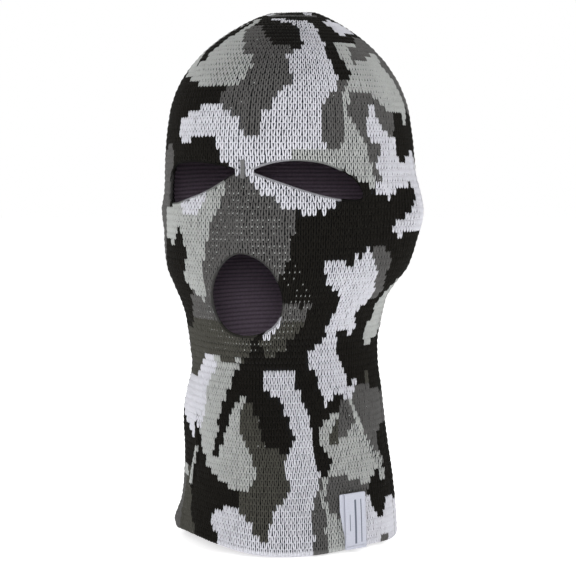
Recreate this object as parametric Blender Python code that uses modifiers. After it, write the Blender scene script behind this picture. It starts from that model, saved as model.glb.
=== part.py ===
"""A knitted three-hole balaclava, standing on its neck hem with the shape of a head inside it.

The face looks along -Y, the wearer's left is +X, and +Z is up. The origin is at the middle of the base of
the object's box, on the surface that the hem stands on. All lengths in the constants are in millimetres.
"""

import math

import bmesh
import bpy
import numpy as np
from mathutils import Vector

MM = 0.001

# The head-shaped body as sections at rising heights. Each row holds the height, the half width, the place
# of the widest line along Y, the depth in front of that line, the depth behind it, and how full the front
# half is: 2 is an ellipse, and less is more pointed.
SECTIONS = (
    (0.0, 73.5, 0.0, 79.0, 74.0, 1.78),
    (3.0, 73.5, 0.0, 79.0, 74.0, 1.78),
    (18.0, 72.5, 0.0, 78.5, 73.0, 1.75),
    (40.0, 70.3, -1.0, 77.5, 70.0, 1.70),
    (70.0, 67.0, -4.0, 75.5, 68.0, 1.70),
    (98.0, 65.0, -6.5, 72.5, 65.5, 1.75),
    (118.0, 62.0, -4.5, 72.5, 64.5, 1.75),
    (132.0, 61.5, -4.0, 78.0, 66.5, 1.78),
    (145.0, 63.5, -2.0, 87.0, 70.0, 1.85),
    (158.0, 68.0, 0.5, 92.5, 75.5, 1.88),
    (171.0, 75.0, 2.5, 97.5, 80.5, 1.86),
    (182.0, 80.5, 5.0, 101.0, 84.5, 1.85),
    (195.0, 82.8, 6.5, 102.5, 87.0, 1.85),
    (210.0, 83.3, 7.0, 103.5, 90.0, 1.82),
    (223.0, 83.5, 7.6, 103.8, 90.6, 1.81),
    (235.0, 83.5, 8.0, 104.0, 91.0, 1.80),
    (247.0, 83.1, 8.0, 104.6, 91.1, 1.81),
    (260.0, 82.3, 8.0, 105.0, 91.0, 1.82),
    (284.0, 79.0, 8.5, 101.0, 89.5, 1.88),
    (300.0, 73.8, 9.0, 94.0, 84.5, 1.92),
    (314.0, 65.6, 10.5, 83.5, 76.0, 1.95),
    (326.0, 55.2, 13.0, 72.0, 65.5, 2.0),
    (336.0, 43.6, 15.0, 57.0, 52.0, 2.0),
    (344.0, 31.4, 16.5, 39.5, 36.5, 2.0),
    (349.0, 22.0, 16.5, 22.5, 21.0, 2.0),
    (351.5, 16.0, 17.0, 9.0, 8.6, 2.0),
    (352.0, 13.5, 17.0, 1.9, 1.9, 2.0),
)
BACK_FULLNESS = 2.15

# Swellings and hollows of the head under the knit: angle from the face's middle line in degrees, height,
# spread in degrees, spread in height, and how far the knit is pushed out.
RELIEF = (
    (0.0, 212.0, 9.0, 17.0, 4.5),
    (0.0, 246.0, 7.0, 9.0, -1.5),
    (27.0, 240.0, 12.0, 11.0, -2.5),
    (-27.0, 240.0, 12.0, 11.0, -2.5),
    (42.0, 212.0, 14.0, 14.0, 1.8),
    (-42.0, 212.0, 14.0, 14.0, 1.8),
    (0.0, 136.0, 16.0, 11.0, 4.0),
    (92.0, 218.0, 13.0, 21.0, 7.5),
    (-92.0, 218.0, 13.0, 21.0, 7.5),
)

SEAM_ANGLE = 94.5
PANEL_THICKNESS = 2.2
SEAM_GAP = 2.6
SEAM_RADIUS = 0.9
CLEARANCE = 0.35
LINING_GAP = 0.8
LINING_THICKNESS = 1.0
HEM_HEIGHT = 18.0
HEM_THICKNESS = 1.6
HEM_THREAD_RADIUS = 0.5
BINDING_RADIUS = 1.3

FRONT_COLUMNS = 34
BACK_COLUMNS = 26
LINING_COLUMNS = 48
BINDING_POINTS = 44

# The middle line of each opening's binding, seen from the front, as across and up.
LEFT_EYE = (
    (3.6, 245.6), (9.0, 248.6), (20.0, 251.8), (32.0, 252.6), (45.0, 250.8), (56.0, 245.2), (62.4, 238.4),
    (65.2, 231.0), (63.0, 227.2), (52.0, 228.0), (36.0, 232.8), (20.0, 238.6), (8.5, 243.0),
)
RIGHT_EYE = (
    (-4.6, 246.0), (-12.0, 248.8), (-25.0, 251.0), (-40.0, 252.0), (-54.0, 250.4), (-60.0, 245.0),
    (-62.5, 236.0), (-61.5, 227.0), (-56.0, 224.6), (-44.0, 227.6), (-27.0, 233.2), (-13.0, 239.8),
)
MOUTH = (
    (-1.5, 195.0), (9.0, 191.6), (18.0, 182.5), (22.8, 168.0), (20.5, 154.0), (12.0, 145.0), (-1.0, 142.0),
    (-14.0, 145.2), (-22.0, 155.0), (-24.0, 168.5), (-19.0, 183.0), (-11.0, 192.0),
)

BARTACK_CENTRE = (-0.5, 247.0)
BARTACK_SIZE = (2.6, 1.3, 12.0)

LABEL_ANGLE = 54.0
LABEL_BASE = 2.6
LABEL_WIDTH = 22.0
LABEL_HEIGHT = 36.0
LABEL_CLOTH = 0.35
LABEL_LOOP = 1.3
LABEL_STAND_OFF = 1.2
STITCH_COUNT = 6
STITCH_SWING = 0.6
STITCH_RADIUS = 0.25
STITCH_RISE = 3.0

# How far the whole object is moved along Y, so that the origin is at the middle of its box.
SHIFT_Y = 0.92


def monotone_curve(places, values):
    """A smooth curve through the values that never overshoots between them, as a function of the place."""
    places = np.asarray(places, float)
    values = np.asarray(values, float)
    steps = np.diff(places)
    slopes = np.diff(values) / steps
    tangents = np.zeros(len(values))
    same_way = slopes[:-1] * slopes[1:] > 0
    near, far = steps[1:] + 2 * steps[:-1], 2 * steps[1:] + steps[:-1]
    safe = np.where(same_way, slopes[:-1] * slopes[1:], 1.0)
    mixed = (near + far) * safe / np.where(same_way, near * slopes[1:] + far * slopes[:-1], 1.0)
    tangents[1:-1] = np.where(same_way, mixed, 0.0)
    tangents[0], tangents[-1] = slopes[0], slopes[-1]

    def curve(at):
        at = np.clip(at, places[0], places[-1])
        k = np.clip(np.searchsorted(places, at, side="right") - 1, 0, len(steps) - 1)
        t = (at - places[k]) / steps[k]
        start = values[k] * (1 + 2 * t) * (1 - t) ** 2 + tangents[k] * steps[k] * t * (1 - t) ** 2
        end = values[k + 1] * t * t * (3 - 2 * t) + tangents[k + 1] * steps[k] * t * t * (t - 1)
        return start + end

    return curve


def climb_of_sections():
    """How far each section is from the hem, measured up the side of the body."""
    rows = np.array(SECTIONS)
    rise = np.diff(rows[:, 0])
    draw_in = np.diff((rows[:, 1] + rows[:, 4]) / 2)
    return np.concatenate([[0.0], np.cumsum(np.hypot(rise, draw_in))])


CLIMB = climb_of_sections()
CURVES = [monotone_curve(CLIMB, column) for column in np.array(SECTIONS).T]


def outer_point(angle, climb):
    """A point of the outer skin, at an angle in degrees from the face's middle line."""
    height, width, middle, front, back, fullness = (float(curve(climb)) for curve in CURVES)
    turn = math.radians(angle)
    across, ahead = math.sin(turn), math.cos(turn)
    power = 2 / (fullness if ahead > 0 else BACK_FULLNESS)
    depth = front if ahead > 0 else back
    push = 0.0
    for at, level, spread, tall, out in RELIEF:
        off = (angle - at + 180.0) % 360.0 - 180.0
        push += out * math.exp(-((off / spread) ** 2) - ((height - level) / tall) ** 2)
    x = width * math.copysign(abs(across) ** power, across) + push * across
    y = middle - depth * math.copysign(abs(ahead) ** power, ahead) - push * ahead
    return Vector((x, y + SHIFT_Y, height)) * MM


def skin_point(angle, climb, inset=0.0):
    """A point of the outer skin, or of a skin that lies inset under it, square to it."""
    point = outer_point(angle, climb)
    if inset == 0.0:
        return point
    around = outer_point(angle + 1.0, climb) - outer_point(angle - 1.0, climb)
    lower = max(climb - 1.0, 0.0)
    upward = outer_point(angle, lower + 2.0) - outer_point(angle, lower)
    return point - around.cross(upward).normalized() * inset * MM


def climb_at_height(height):
    """The climb at which the skin is at that height."""
    low, high = 0.0, float(CLIMB[-1])
    for _ in range(40):
        middle = (low + high) / 2
        if float(CURVES[0](middle)) < height:
            low = middle
        else:
            high = middle
    return (low + high) / 2


def front_angle(across, climb, inset):
    """The angle at which the front of the skin is that far across."""
    low, high = -88.0, 88.0
    for _ in range(40):
        middle = (low + high) / 2
        if skin_point(middle, climb, inset).x < across * MM:
            low = middle
        else:
            high = middle
    return (low + high) / 2


def point_on_front(across, height, inset):
    """The point of the front skin seen at that place from the front."""
    climb = climb_at_height(height)
    return skin_point(front_angle(across, climb, inset), climb, inset)


def outward_angle(angle, climb):
    """The direction, in degrees from the face, that the skin looks towards there."""
    along = skin_point(angle + 0.5, climb) - skin_point(angle - 0.5, climb)
    return math.degrees(math.atan2(along.y, along.x))


def seam_edge(side, climb, towards_back):
    """The angle at which a panel ends, half a seam gap from the seam line of that side."""
    seam = side * SEAM_ANGLE
    start = skin_point(seam, climb)
    way = side if towards_back else -side
    low, high = 0.0, 85.0
    for _ in range(40):
        middle = (low + high) / 2
        if (skin_point(seam + way * middle, climb) - start).length < SEAM_GAP / 2 * MM:
            low = middle
        else:
            high = middle
    return seam + way * high


def smooth_outline(points, count):
    """Evenly spaced points on a closed smooth curve through the given ones."""
    given = [Vector((x, 0.0, z)) for x, z in points]
    fine = []
    for k, start in enumerate(given):
        before, end, after = given[k - 1], given[(k + 1) % len(given)], given[(k + 2) % len(given)]
        for step in range(12):
            t = step / 12
            fine.append(
                0.5 * (2 * start + (end - before) * t
                       + (2 * before - 5 * start + 4 * end - after) * t**2
                       + (3 * start - before - 3 * end + after) * t**3)
            )
    lengths = [0.0]
    for k, point in enumerate(fine):
        lengths.append(lengths[-1] + (fine[(k + 1) % len(fine)] - point).length)
    spaced = []
    for k in range(count):
        goal = lengths[-1] * k / count
        at = max(i for i in range(len(fine)) if lengths[i] <= goal)
        share = (goal - lengths[at]) / (lengths[at + 1] - lengths[at])
        spaced.append(fine[at].lerp(fine[(at + 1) % len(fine)], share))
    return [(point.x, point.z) for point in spaced]


def grown_outline(points, amount):
    """The closed outline moved outward by the amount. The points run clockwise, seen from the front."""
    grown = []
    for k, (x, z) in enumerate(points):
        before, after = points[k - 1], points[(k + 1) % len(points)]
        along = Vector((after[0] - before[0], after[1] - before[1])).normalized()
        grown.append((x - along.y * amount, z + along.x * amount))
    return grown


def clockwise(points):
    """The outline, turned round if it runs anticlockwise seen from the front."""
    area = sum(
        points[k - 1][0] * points[k][1] - points[k][0] * points[k - 1][1] for k in range(len(points))
    )
    return list(points) if area < 0 else list(reversed(points))


def material(name, colour, roughness, metallic=0.0):
    """A plain Principled material."""
    made = bpy.data.materials.new(name)
    made.use_nodes = True
    shader = made.node_tree.nodes["Principled BSDF"]
    shader.inputs["Base Color"].default_value = (*colour, 1.0)
    shader.inputs["Roughness"].default_value = roughness
    shader.inputs["Metallic"].default_value = metallic
    return made


def add_object(name, data, collection, finish=None):
    """An object of that mesh or curve, in the collection."""
    made = bpy.data.objects.new(name, data)
    if finish:
        data.materials.append(finish)
    collection.objects.link(made)
    return made


def lofted_sheet(name, rows, closed, collection, finish, pole=None):
    """An open sheet through rows of points; a closed one joins each row's ends, and may end in a pole."""
    mesh = bpy.data.meshes.new(name)
    shape = bmesh.new()
    grid = [[shape.verts.new(point) for point in row] for row in rows]
    columns = len(rows[0]) if closed else len(rows[0]) - 1
    for lower, upper in zip(grid, grid[1:]):
        for k in range(columns):
            after = (k + 1) % len(lower)
            shape.faces.new((lower[k], lower[after], upper[after], upper[k]))
    if pole is not None:
        tip = shape.verts.new(pole)
        for k in range(columns):
            shape.faces.new((grid[-1][k], grid[-1][(k + 1) % columns], tip))
    shape.to_mesh(mesh)
    shape.free()
    mesh.shade_smooth()
    return add_object(name, mesh, collection, finish)


def thicken(sheet, thickness):
    """Gives the sheet its thickness, inward from the side that its faces look to."""
    solid = sheet.modifiers.new("thickness", "SOLIDIFY")
    solid.thickness = thickness * MM
    solid.offset = -1.0
    solid.use_even_offset = True
    solid.use_quality_normals = True


def thread(name, points, radius, closed, collection, finish, sides=1):
    """A round thread through the points."""
    curve = bpy.data.curves.new(name, "CURVE")
    curve.dimensions = "3D"
    curve.bevel_depth = radius * MM
    curve.bevel_resolution = sides
    curve.render_resolution_u = 0
    curve.use_fill_caps = not closed
    line = curve.splines.new("POLY")
    line.points.add(len(points) - 1)
    for target, point in zip(line.points, points):
        target.co = (*point, 1.0)
    line.use_cyclic_u = closed
    line.use_smooth = True
    return add_object(name, curve, collection, finish)


def opening_cutter(name, outline, collection):
    """A block of the opening's outline that runs through the front of the head only."""
    grown = grown_outline(outline, BINDING_RADIUS + CLEARANCE)
    mesh = bpy.data.meshes.new(name)
    shape = bmesh.new()
    near = [shape.verts.new((x * MM, -0.125, z * MM)) for x, z in grown]
    face = shape.faces.new(near)
    pushed = bmesh.ops.extrude_face_region(shape, geom=[face])["geom"]
    ends = [item for item in pushed if isinstance(item, bmesh.types.BMVert)]
    bmesh.ops.translate(shape, verts=ends, vec=(0.0, 0.105, 0.0))
    bmesh.ops.recalc_face_normals(shape, faces=shape.faces)
    shape.to_mesh(mesh)
    shape.free()
    cutter = add_object(name, mesh, collection)
    cutter.hide_render = True
    cutter.display_type = "WIRE"
    return cutter


def cut(target, cutters):
    """Cuts each opening out of the target."""
    for cutter in cutters:
        boolean = target.modifiers.new(cutter.name, "BOOLEAN")
        boolean.operation = "DIFFERENCE"
        boolean.solver = "EXACT"
        boolean.object = cutter


def knitted_panel(name, columns, is_front, collection, finish):
    """One knitted panel, from seam to seam, hem to crown."""
    rows = []
    for climb in CLIMB:
        if is_front:
            start, end = seam_edge(-1, climb, False), seam_edge(1, climb, False)
        else:
            start, end = seam_edge(1, climb, True), seam_edge(-1, climb, True) + 360.0
        rows.append([skin_point(start + (end - start) * k / columns, climb) for k in range(columns + 1)])
    panel = lofted_sheet(name, rows, False, collection, finish)
    thicken(panel, PANEL_THICKNESS)
    return panel


def inner_layer(name, low, high, thickness, collection, finish):
    """A layer that goes all the way round inside the panels, between two heights, or up to the crown."""
    inset = PANEL_THICKNESS + (LINING_GAP if high >= SECTIONS[-1][0] else CLEARANCE)
    inner = [climb for climb in CLIMB if low + 2.0 < float(CURVES[0](climb)) < high - 2.0]
    climbs = [climb_at_height(low), *inner]
    top_height, _, middle = SECTIONS[-1][:3]
    pole = None
    if high < top_height:
        climbs.append(climb_at_height(high))
    else:
        pole = Vector((0.0, middle + SHIFT_Y, top_height - inset)) * MM
    rows = []
    for climb in climbs:
        rows.append([skin_point(360.0 * k / LINING_COLUMNS, climb, inset) for k in range(LINING_COLUMNS)])
    layer = lofted_sheet(name, rows, True, collection, finish, pole)
    thicken(layer, thickness)
    return layer


def opening_binding(name, outline, collection, finish):
    """The rolled edge round an opening, along the middle of the knit."""
    points = [point_on_front(x, z, PANEL_THICKNESS / 2) for x, z in outline]
    return thread(name, points, BINDING_RADIUS, True, collection, finish, sides=2)


def side_seam(name, side, collection, finish):
    """The seam thread of one side, from just above the hem to the end of the crown seam."""
    climbs = [1.0, *CLIMB[1:-1]]
    points = [skin_point(side * SEAM_ANGLE, climb, PANEL_THICKNESS / 2) for climb in climbs]
    return thread(name, points, SEAM_RADIUS, False, collection, finish)


def crown_seam(collection, finish):
    """The short seam that closes the top."""
    half = SECTIONS[-1][1] - 4.5
    height, middle = SECTIONS[-1][0], SECTIONS[-1][2]
    level = height - SEAM_RADIUS - 0.1
    points = [Vector((half * (k / 4 - 1), middle + SHIFT_Y, level)) * MM for k in range(9)]
    return thread("crown_seam", points, SEAM_RADIUS, False, collection, finish)


def hem_stitching(collection, finish):
    """The thread round the inside of the turned-in hem."""
    inset = PANEL_THICKNESS + CLEARANCE + HEM_THICKNESS + CLEARANCE + HEM_THREAD_RADIUS
    climb = climb_at_height(HEM_HEIGHT - 4.0)
    points = [skin_point(360.0 * k / LINING_COLUMNS, climb, inset) for k in range(LINING_COLUMNS)]
    return thread("hem_stitching", points, HEM_THREAD_RADIUS, True, collection, finish)


def bridge_bartack(collection, finish):
    """The bar of dense stitches on the bridge of the nose, between the eye openings."""
    across, height = BARTACK_CENTRE
    wide, deep, tall = BARTACK_SIZE
    rise = tall / 2
    fronts = [point_on_front(across, height + rise * k / 4, 0.0).y for k in range(-4, 5)]
    bpy.ops.mesh.primitive_cube_add(size=1.0)
    bar = bpy.context.object
    bar.name = bar.data.name = "bridge_bartack"
    bar.data.transform([[wide * MM, 0, 0, 0], [0, deep * MM, 0, 0], [0, 0, tall * MM, 0], [0, 0, 0, 1]])
    bar.location = (across * MM, min(fronts) - (deep / 2 + CLEARANCE) * MM, height * MM)
    for owner in list(bar.users_collection):
        owner.objects.unlink(bar)
    collection.objects.link(bar)
    bar.data.materials.append(finish)
    rounded = bar.modifiers.new("rounded", "BEVEL")
    rounded.width = 0.4 * MM
    rounded.segments = 2
    return bar


def label_holder(collection):
    """The empty on the label's hinge line: its X axis is the hinge, and -Y looks away from the neck."""
    climb = climb_at_height(LABEL_BASE)
    turn = math.radians(outward_angle(LABEL_ANGLE, climb))
    foot = skin_point(LABEL_ANGLE, climb)
    head = skin_point(LABEL_ANGLE, climb_at_height(LABEL_BASE + LABEL_HEIGHT))
    away = Vector((math.sin(turn), -math.cos(turn), 0.0))
    lean = math.atan2((foot - head).dot(away), head.z - foot.z)
    holder = bpy.data.objects.new("label_hinge", None)
    holder.location = foot + away * LABEL_STAND_OFF * MM
    holder.rotation_euler = (-lean, 0.0, turn)
    collection.objects.link(holder)
    return holder


def label(holder, collection, finish):
    """The folded label: a strip that goes up, over and down again behind itself."""
    half = LABEL_WIDTH / 2
    top = LABEL_HEIGHT - LABEL_LOOP / 2
    fold = [
        (-LABEL_LOOP / 2 * (1 + math.cos(math.pi * k / 6)), top + LABEL_LOOP / 2 * math.sin(math.pi * k / 6))
        for k in range(7)
    ]
    line = [(-LABEL_LOOP, 0.0), (-LABEL_LOOP, top / 2), *fold, (0.0, top / 2), (0.0, 0.4)]
    rows = [[Vector((side * half, y, z)) * MM for side in (-1, -0.5, 0, 0.5, 1)] for y, z in line]
    flap = lofted_sheet("label", rows, False, collection, finish)
    thicken(flap, LABEL_CLOTH)
    flap.parent = holder
    return flap


def label_stitching(holder, collection, finish):
    """The zigzag thread across the front of the label, near its lower edge."""
    y = -(LABEL_LOOP + CLEARANCE + STITCH_RADIUS)
    reach = LABEL_WIDTH / 2 - 0.8
    count = 2 * STITCH_COUNT + 1
    points = []
    for k in range(count):
        across = reach * (2 * k / (count - 1) - 1)
        points.append(Vector((across, y, STITCH_RISE + STITCH_SWING * (-1) ** k)) * MM)
    stitches = thread("label_stitching", points, STITCH_RADIUS, False, collection, finish)
    stitches.parent = holder
    return stitches


def main():
    """Builds the whole object."""
    for old in list(bpy.data.objects):
        bpy.data.objects.remove(old)
    parts = bpy.data.collections.new("balaclava")
    cutters = bpy.data.collections.new("cutters")
    bpy.context.scene.collection.children.link(parts)
    bpy.context.scene.collection.children.link(cutters)

    knit = material("camouflage_knit", (0.16, 0.16, 0.155), 0.95)
    dark_rib = material("dark_rib", (0.035, 0.030, 0.036), 0.9)
    edging = material("edging_yarn", (0.075, 0.070, 0.066), 0.9)
    seam_yarn = material("seam_yarn", (0.05, 0.05, 0.048), 0.9)
    grey_thread = material("grey_thread", (0.20, 0.20, 0.20), 0.8)
    woven_tape = material("woven_tape", (0.80, 0.80, 0.86), 0.7)
    label_thread = material("label_thread", (0.55, 0.55, 0.58), 0.8)

    left_eye = smooth_outline(clockwise(LEFT_EYE), BINDING_POINTS)
    right_eye = smooth_outline(clockwise(RIGHT_EYE), BINDING_POINTS)
    mouth = smooth_outline(clockwise(MOUTH), BINDING_POINTS)
    openings = [
        opening_cutter("left_eye_cutter", left_eye, cutters),
        opening_cutter("right_eye_cutter", right_eye, cutters),
        opening_cutter("mouth_cutter", mouth, cutters),
    ]

    front = knitted_panel("front_panel", FRONT_COLUMNS, True, parts, knit)
    cut(front, openings)
    knitted_panel("back_panel", BACK_COLUMNS, False, parts, knit)
    top = SECTIONS[-1][0]
    lining = inner_layer("inner_lining", HEM_HEIGHT + 1.0, top, LINING_THICKNESS, parts, dark_rib)
    cut(lining, openings)
    inner_layer("hem_turn_up", 0.0, HEM_HEIGHT, HEM_THICKNESS, parts, knit)
    hem_stitching(parts, seam_yarn)

    side_seam("left_side_seam", 1, parts, seam_yarn)
    side_seam("right_side_seam", -1, parts, seam_yarn)
    crown_seam(parts, seam_yarn)
    opening_binding("left_eye_binding", left_eye, parts, edging)
    opening_binding("right_eye_binding", right_eye, parts, edging)
    opening_binding("mouth_binding", mouth, parts, edging)
    bridge_bartack(parts, grey_thread)

    holder = label_holder(parts)
    label(holder, parts, woven_tape)
    label_stitching(holder, parts, label_thread)


main()
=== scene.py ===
"""The looks of a knitted three-hole camouflage balaclava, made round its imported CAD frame.

Everything is in metres in the frame's own axes: the face looks along -Y, the wearer's left is +X, +Z is up.
The knit is real geometry. A closed ground sheet holds each panel's shape, and the stitches lie on it, two
slanted lobes of yarn to a stitch, in five yarn colours that follow the camouflage drawn below.
"""

import math

import bmesh
import bpy
import numpy as np
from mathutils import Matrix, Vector


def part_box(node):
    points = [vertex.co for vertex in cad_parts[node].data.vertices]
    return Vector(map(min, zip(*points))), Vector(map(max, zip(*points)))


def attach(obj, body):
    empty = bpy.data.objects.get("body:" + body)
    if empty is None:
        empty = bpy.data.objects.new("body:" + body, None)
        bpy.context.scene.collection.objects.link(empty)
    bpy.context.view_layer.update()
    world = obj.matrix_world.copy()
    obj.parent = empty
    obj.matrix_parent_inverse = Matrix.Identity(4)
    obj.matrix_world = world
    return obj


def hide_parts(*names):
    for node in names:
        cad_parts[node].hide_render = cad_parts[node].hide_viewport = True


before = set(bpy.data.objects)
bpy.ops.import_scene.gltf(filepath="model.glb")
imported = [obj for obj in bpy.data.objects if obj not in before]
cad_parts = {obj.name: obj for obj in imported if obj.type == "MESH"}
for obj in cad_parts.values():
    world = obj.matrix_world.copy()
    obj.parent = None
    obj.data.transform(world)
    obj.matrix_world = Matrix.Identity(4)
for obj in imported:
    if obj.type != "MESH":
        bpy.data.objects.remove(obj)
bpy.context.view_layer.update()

MM = 0.001

# The head-shaped body as the CAD has it. Each row holds the height, the half width, the place of the widest
# line along Y, the depth in front of that line, the depth behind it, and how full the front half is.
SECTIONS = (
    (0.0, 73.5, 0.0, 79.0, 74.0, 1.78),
    (3.0, 73.5, 0.0, 79.0, 74.0, 1.78),
    (18.0, 72.5, 0.0, 78.5, 73.0, 1.75),
    (40.0, 70.3, -1.0, 77.5, 70.0, 1.70),
    (70.0, 67.0, -4.0, 75.5, 68.0, 1.70),
    (98.0, 65.0, -6.5, 72.5, 65.5, 1.75),
    (118.0, 62.0, -4.5, 72.5, 64.5, 1.75),
    (132.0, 61.5, -4.0, 78.0, 66.5, 1.78),
    (145.0, 63.5, -2.0, 87.0, 70.0, 1.85),
    (158.0, 68.0, 0.5, 92.5, 75.5, 1.88),
    (171.0, 75.0, 2.5, 97.5, 80.5, 1.86),
    (182.0, 80.5, 5.0, 101.0, 84.5, 1.85),
    (195.0, 82.8, 6.5, 102.5, 87.0, 1.85),
    (210.0, 83.3, 7.0, 103.5, 90.0, 1.82),
    (223.0, 83.5, 7.6, 103.8, 90.6, 1.81),
    (235.0, 83.5, 8.0, 104.0, 91.0, 1.80),
    (247.0, 83.1, 8.0, 104.6, 91.1, 1.81),
    (260.0, 82.3, 8.0, 105.0, 91.0, 1.82),
    (284.0, 79.0, 8.5, 101.0, 89.5, 1.88),
    (300.0, 73.8, 9.0, 94.0, 84.5, 1.92),
    (314.0, 65.6, 10.5, 83.5, 76.0, 1.95),
    (326.0, 55.2, 13.0, 72.0, 65.5, 2.0),
    (336.0, 43.6, 15.0, 57.0, 52.0, 2.0),
    (344.0, 31.4, 16.5, 39.5, 36.5, 2.0),
    (349.0, 22.0, 16.5, 22.5, 21.0, 2.0),
    (351.5, 16.0, 17.0, 9.0, 8.6, 2.0),
    (352.0, 13.5, 17.0, 1.9, 1.9, 2.0),
)
BACK_FULLNESS = 2.15
SHIFT_Y = 0.92

# Swellings and hollows: angle from the face's middle line in degrees, height, spread in degrees, spread in
# height, and how far the knit is pushed out.
RELIEF = (
    (0.0, 212.0, 9.0, 17.0, 4.5),
    (0.0, 246.0, 7.0, 9.0, -1.5),
    (27.0, 240.0, 12.0, 11.0, -2.5),
    (-27.0, 240.0, 12.0, 11.0, -2.5),
    (42.0, 212.0, 14.0, 14.0, 1.8),
    (-42.0, 212.0, 14.0, 14.0, 1.8),
    (0.0, 136.0, 16.0, 11.0, 4.0),
    (92.0, 218.0, 13.0, 21.0, 7.5),
    (-92.0, 218.0, 13.0, 21.0, 7.5),
    (-72.0, 12.0, 11.0, 9.0, 3.6),
    (-74.0, 80.0, 14.0, 20.0, 2.6),
    (-74.0, 134.0, 14.0, 15.0, 2.4),
    (104.0, 42.0, 16.0, 52.0, 1.4),
    (105.0, 165.0, 18.0, 13.0, -3.6),
)

# Where the cloth rides up from the floor at the hem, and how far: angle, spread and lift. It fades out above.
HEM_LIFTS = ((-45.0, 38.0, 7.5), (62.0, 22.0, 2.4))
HEM_LIFT_FADES_BY = 60.0

# Soft creases of the cloth, which the CAD leaves out too: height of the ridge, its half width, and the line
# that it follows as angle and climb, where climb is the distance up the cloth from the hem.
CREASES = (
    (1.3, 3.2, ((56, 97), (60, 86), (64, 76.5), (70.5, 68), (77.5, 59.5), (80.5, 53), (81, 41))),
    (1.6, 2.6, ((-47, 84), (-45, 68), (-49, 50), (-51, 38))),
    (1.4, 3.0, ((52, 104), (58, 90), (66, 78), (74, 66), (80, 56), (86, 44))),
    (1.0, 2.4, ((57, 257), (61, 247), (65, 237))),
    (0.7, 2.0, ((-1, 262), (0, 275), (1, 300))),
)
MM_PER_DEGREE = 1.2

SEAM_ANGLE = 94.5
SEAM_GAP = 2.6
SEAM_RADIUS = 0.9
PANEL_THICKNESS = 2.2
LINING_INSET = 3.0
LINING_THICKNESS = 1.0
HEM_HEIGHT = 18.0

# The middle line of each opening's rolled edge, seen from the front, as across and up, as the CAD has it.
LEFT_EYE = (
    (3.6, 245.6), (9.0, 248.6), (20.0, 251.8), (32.0, 252.6), (45.0, 250.8), (56.0, 245.2), (62.4, 238.4),
    (65.2, 231.0), (63.0, 227.2), (52.0, 228.0), (36.0, 232.8), (20.0, 238.6), (8.5, 243.0),
)
RIGHT_EYE = (
    (-4.6, 246.0), (-12.0, 248.8), (-25.0, 251.0), (-40.0, 252.0), (-54.0, 250.4), (-60.0, 245.0),
    (-62.5, 236.0), (-61.5, 227.0), (-56.0, 224.6), (-44.0, 227.6), (-27.0, 233.2), (-13.0, 239.8),
)
MOUTH = (
    (-1.5, 195.0), (9.0, 191.6), (18.0, 182.5), (22.8, 168.0), (20.5, 154.0), (12.0, 145.0), (-1.0, 142.0),
    (-14.0, 145.2), (-22.0, 155.0), (-24.0, 168.5), (-19.0, 183.0), (-11.0, 192.0),
)

# The knit: stitches across each panel, how tall a course is, and where the wales are squeezed or stretched.
FRONT_WALES = 92
BACK_WALES = 84
COURSE = 4.1
NARROWEST_WALE = 1.7
NECK_SQUEEZE = 0.13
NECK_CLIMB = 75.0
NECK_SPREAD = 34.0
BROW_STRETCH = 0.03
BROW_CLIMBS = (220.0, 260.0)

BLACK, CHARCOAL, DARK, LIGHT, WHITE = range(5)
YARN_NAMES = ("black_yarn", "charcoal_yarn", "dark_grey_yarn", "light_grey_yarn", "white_yarn")
YARN_CODES = ("15130f", "474640", "5a5958", "adafad", "d1d1d8")
# The ground under each yarn: partly the floats that show in the gaps, partly painted shade between the
# stitches.
GAP_FLOAT_AND_SHADE_CODES = ("0a0908", "121110", "1a1a1b", "202225", "383b44")
# How uneven each yarn's colour is, and its sheen.
YARN_SPREADS = (0.35, 0.20, 0.16, 0.10, 0.05)
YARN_SHEENS = (0.02, 0.04, 0.06, 0.10, 0.12)

# Below this climb dark grey is charcoal, except in these places: from one angle to another, up to a climb.
DARKER_BELOW = 152.0
PALER_PLACES = ((-181.0, -62.0, 62.0), (24.0, 181.0, 58.0), (50.0, 181.0, 108.0))

# The sides and the back repeat the front's pattern: the angle at which they start, how far that edge wanders,
# then how far the pattern is turned and raised. Above its top it starts again lower down.
PATTERN_REACH = 116.0
BACK_WANDER = 4.0
BACK_TURN = 172.0
BACK_RISE = 40.0
FAR_SIDE = -71.0
FAR_WANDER = 3.0
FAR_TURN = 6.0
FAR_RISE = 27.0
PATTERN_TOP = 382.0
PATTERN_REPEAT = 262.0
# The climbs at which the far side has patches of its own.
DRAWN_CLIMBS = ((-1.0, 62.0), (186.0, 244.0))
# The crown: black behind the seams above one climb, and no black in front above another.
BLACK_ABOVE = 368.0
CROWN_END = 380.0
CROWN_ANGLES = (-30.0, 60.0)

# Light floats between the dark stitches: the chance of one by yarn, the angle and climb round which they
# show, how far they spread, and their chance elsewhere. Then the rings of them beside the mouth.
FLOAT_CHANCE = (0.22, 0.7, 0.95, 0.0, 0.0)
FLOAT_CENTRE = (-4.0, 188.0)
FLOAT_SPREAD = (29.0, 50.0)
STRAY_FLOATS = 0.02
RING_CHANCE = 0.75
RING_WIDTH = 8.5
WIDE_RING = 14.0
WIDE_RING_FROM = (6.0, 160.0)
RING_TOP = 212.0
SMOOTH_CORNER = (2.0, 178.0)
FLOAT_CLEAR = 1.8

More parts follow.
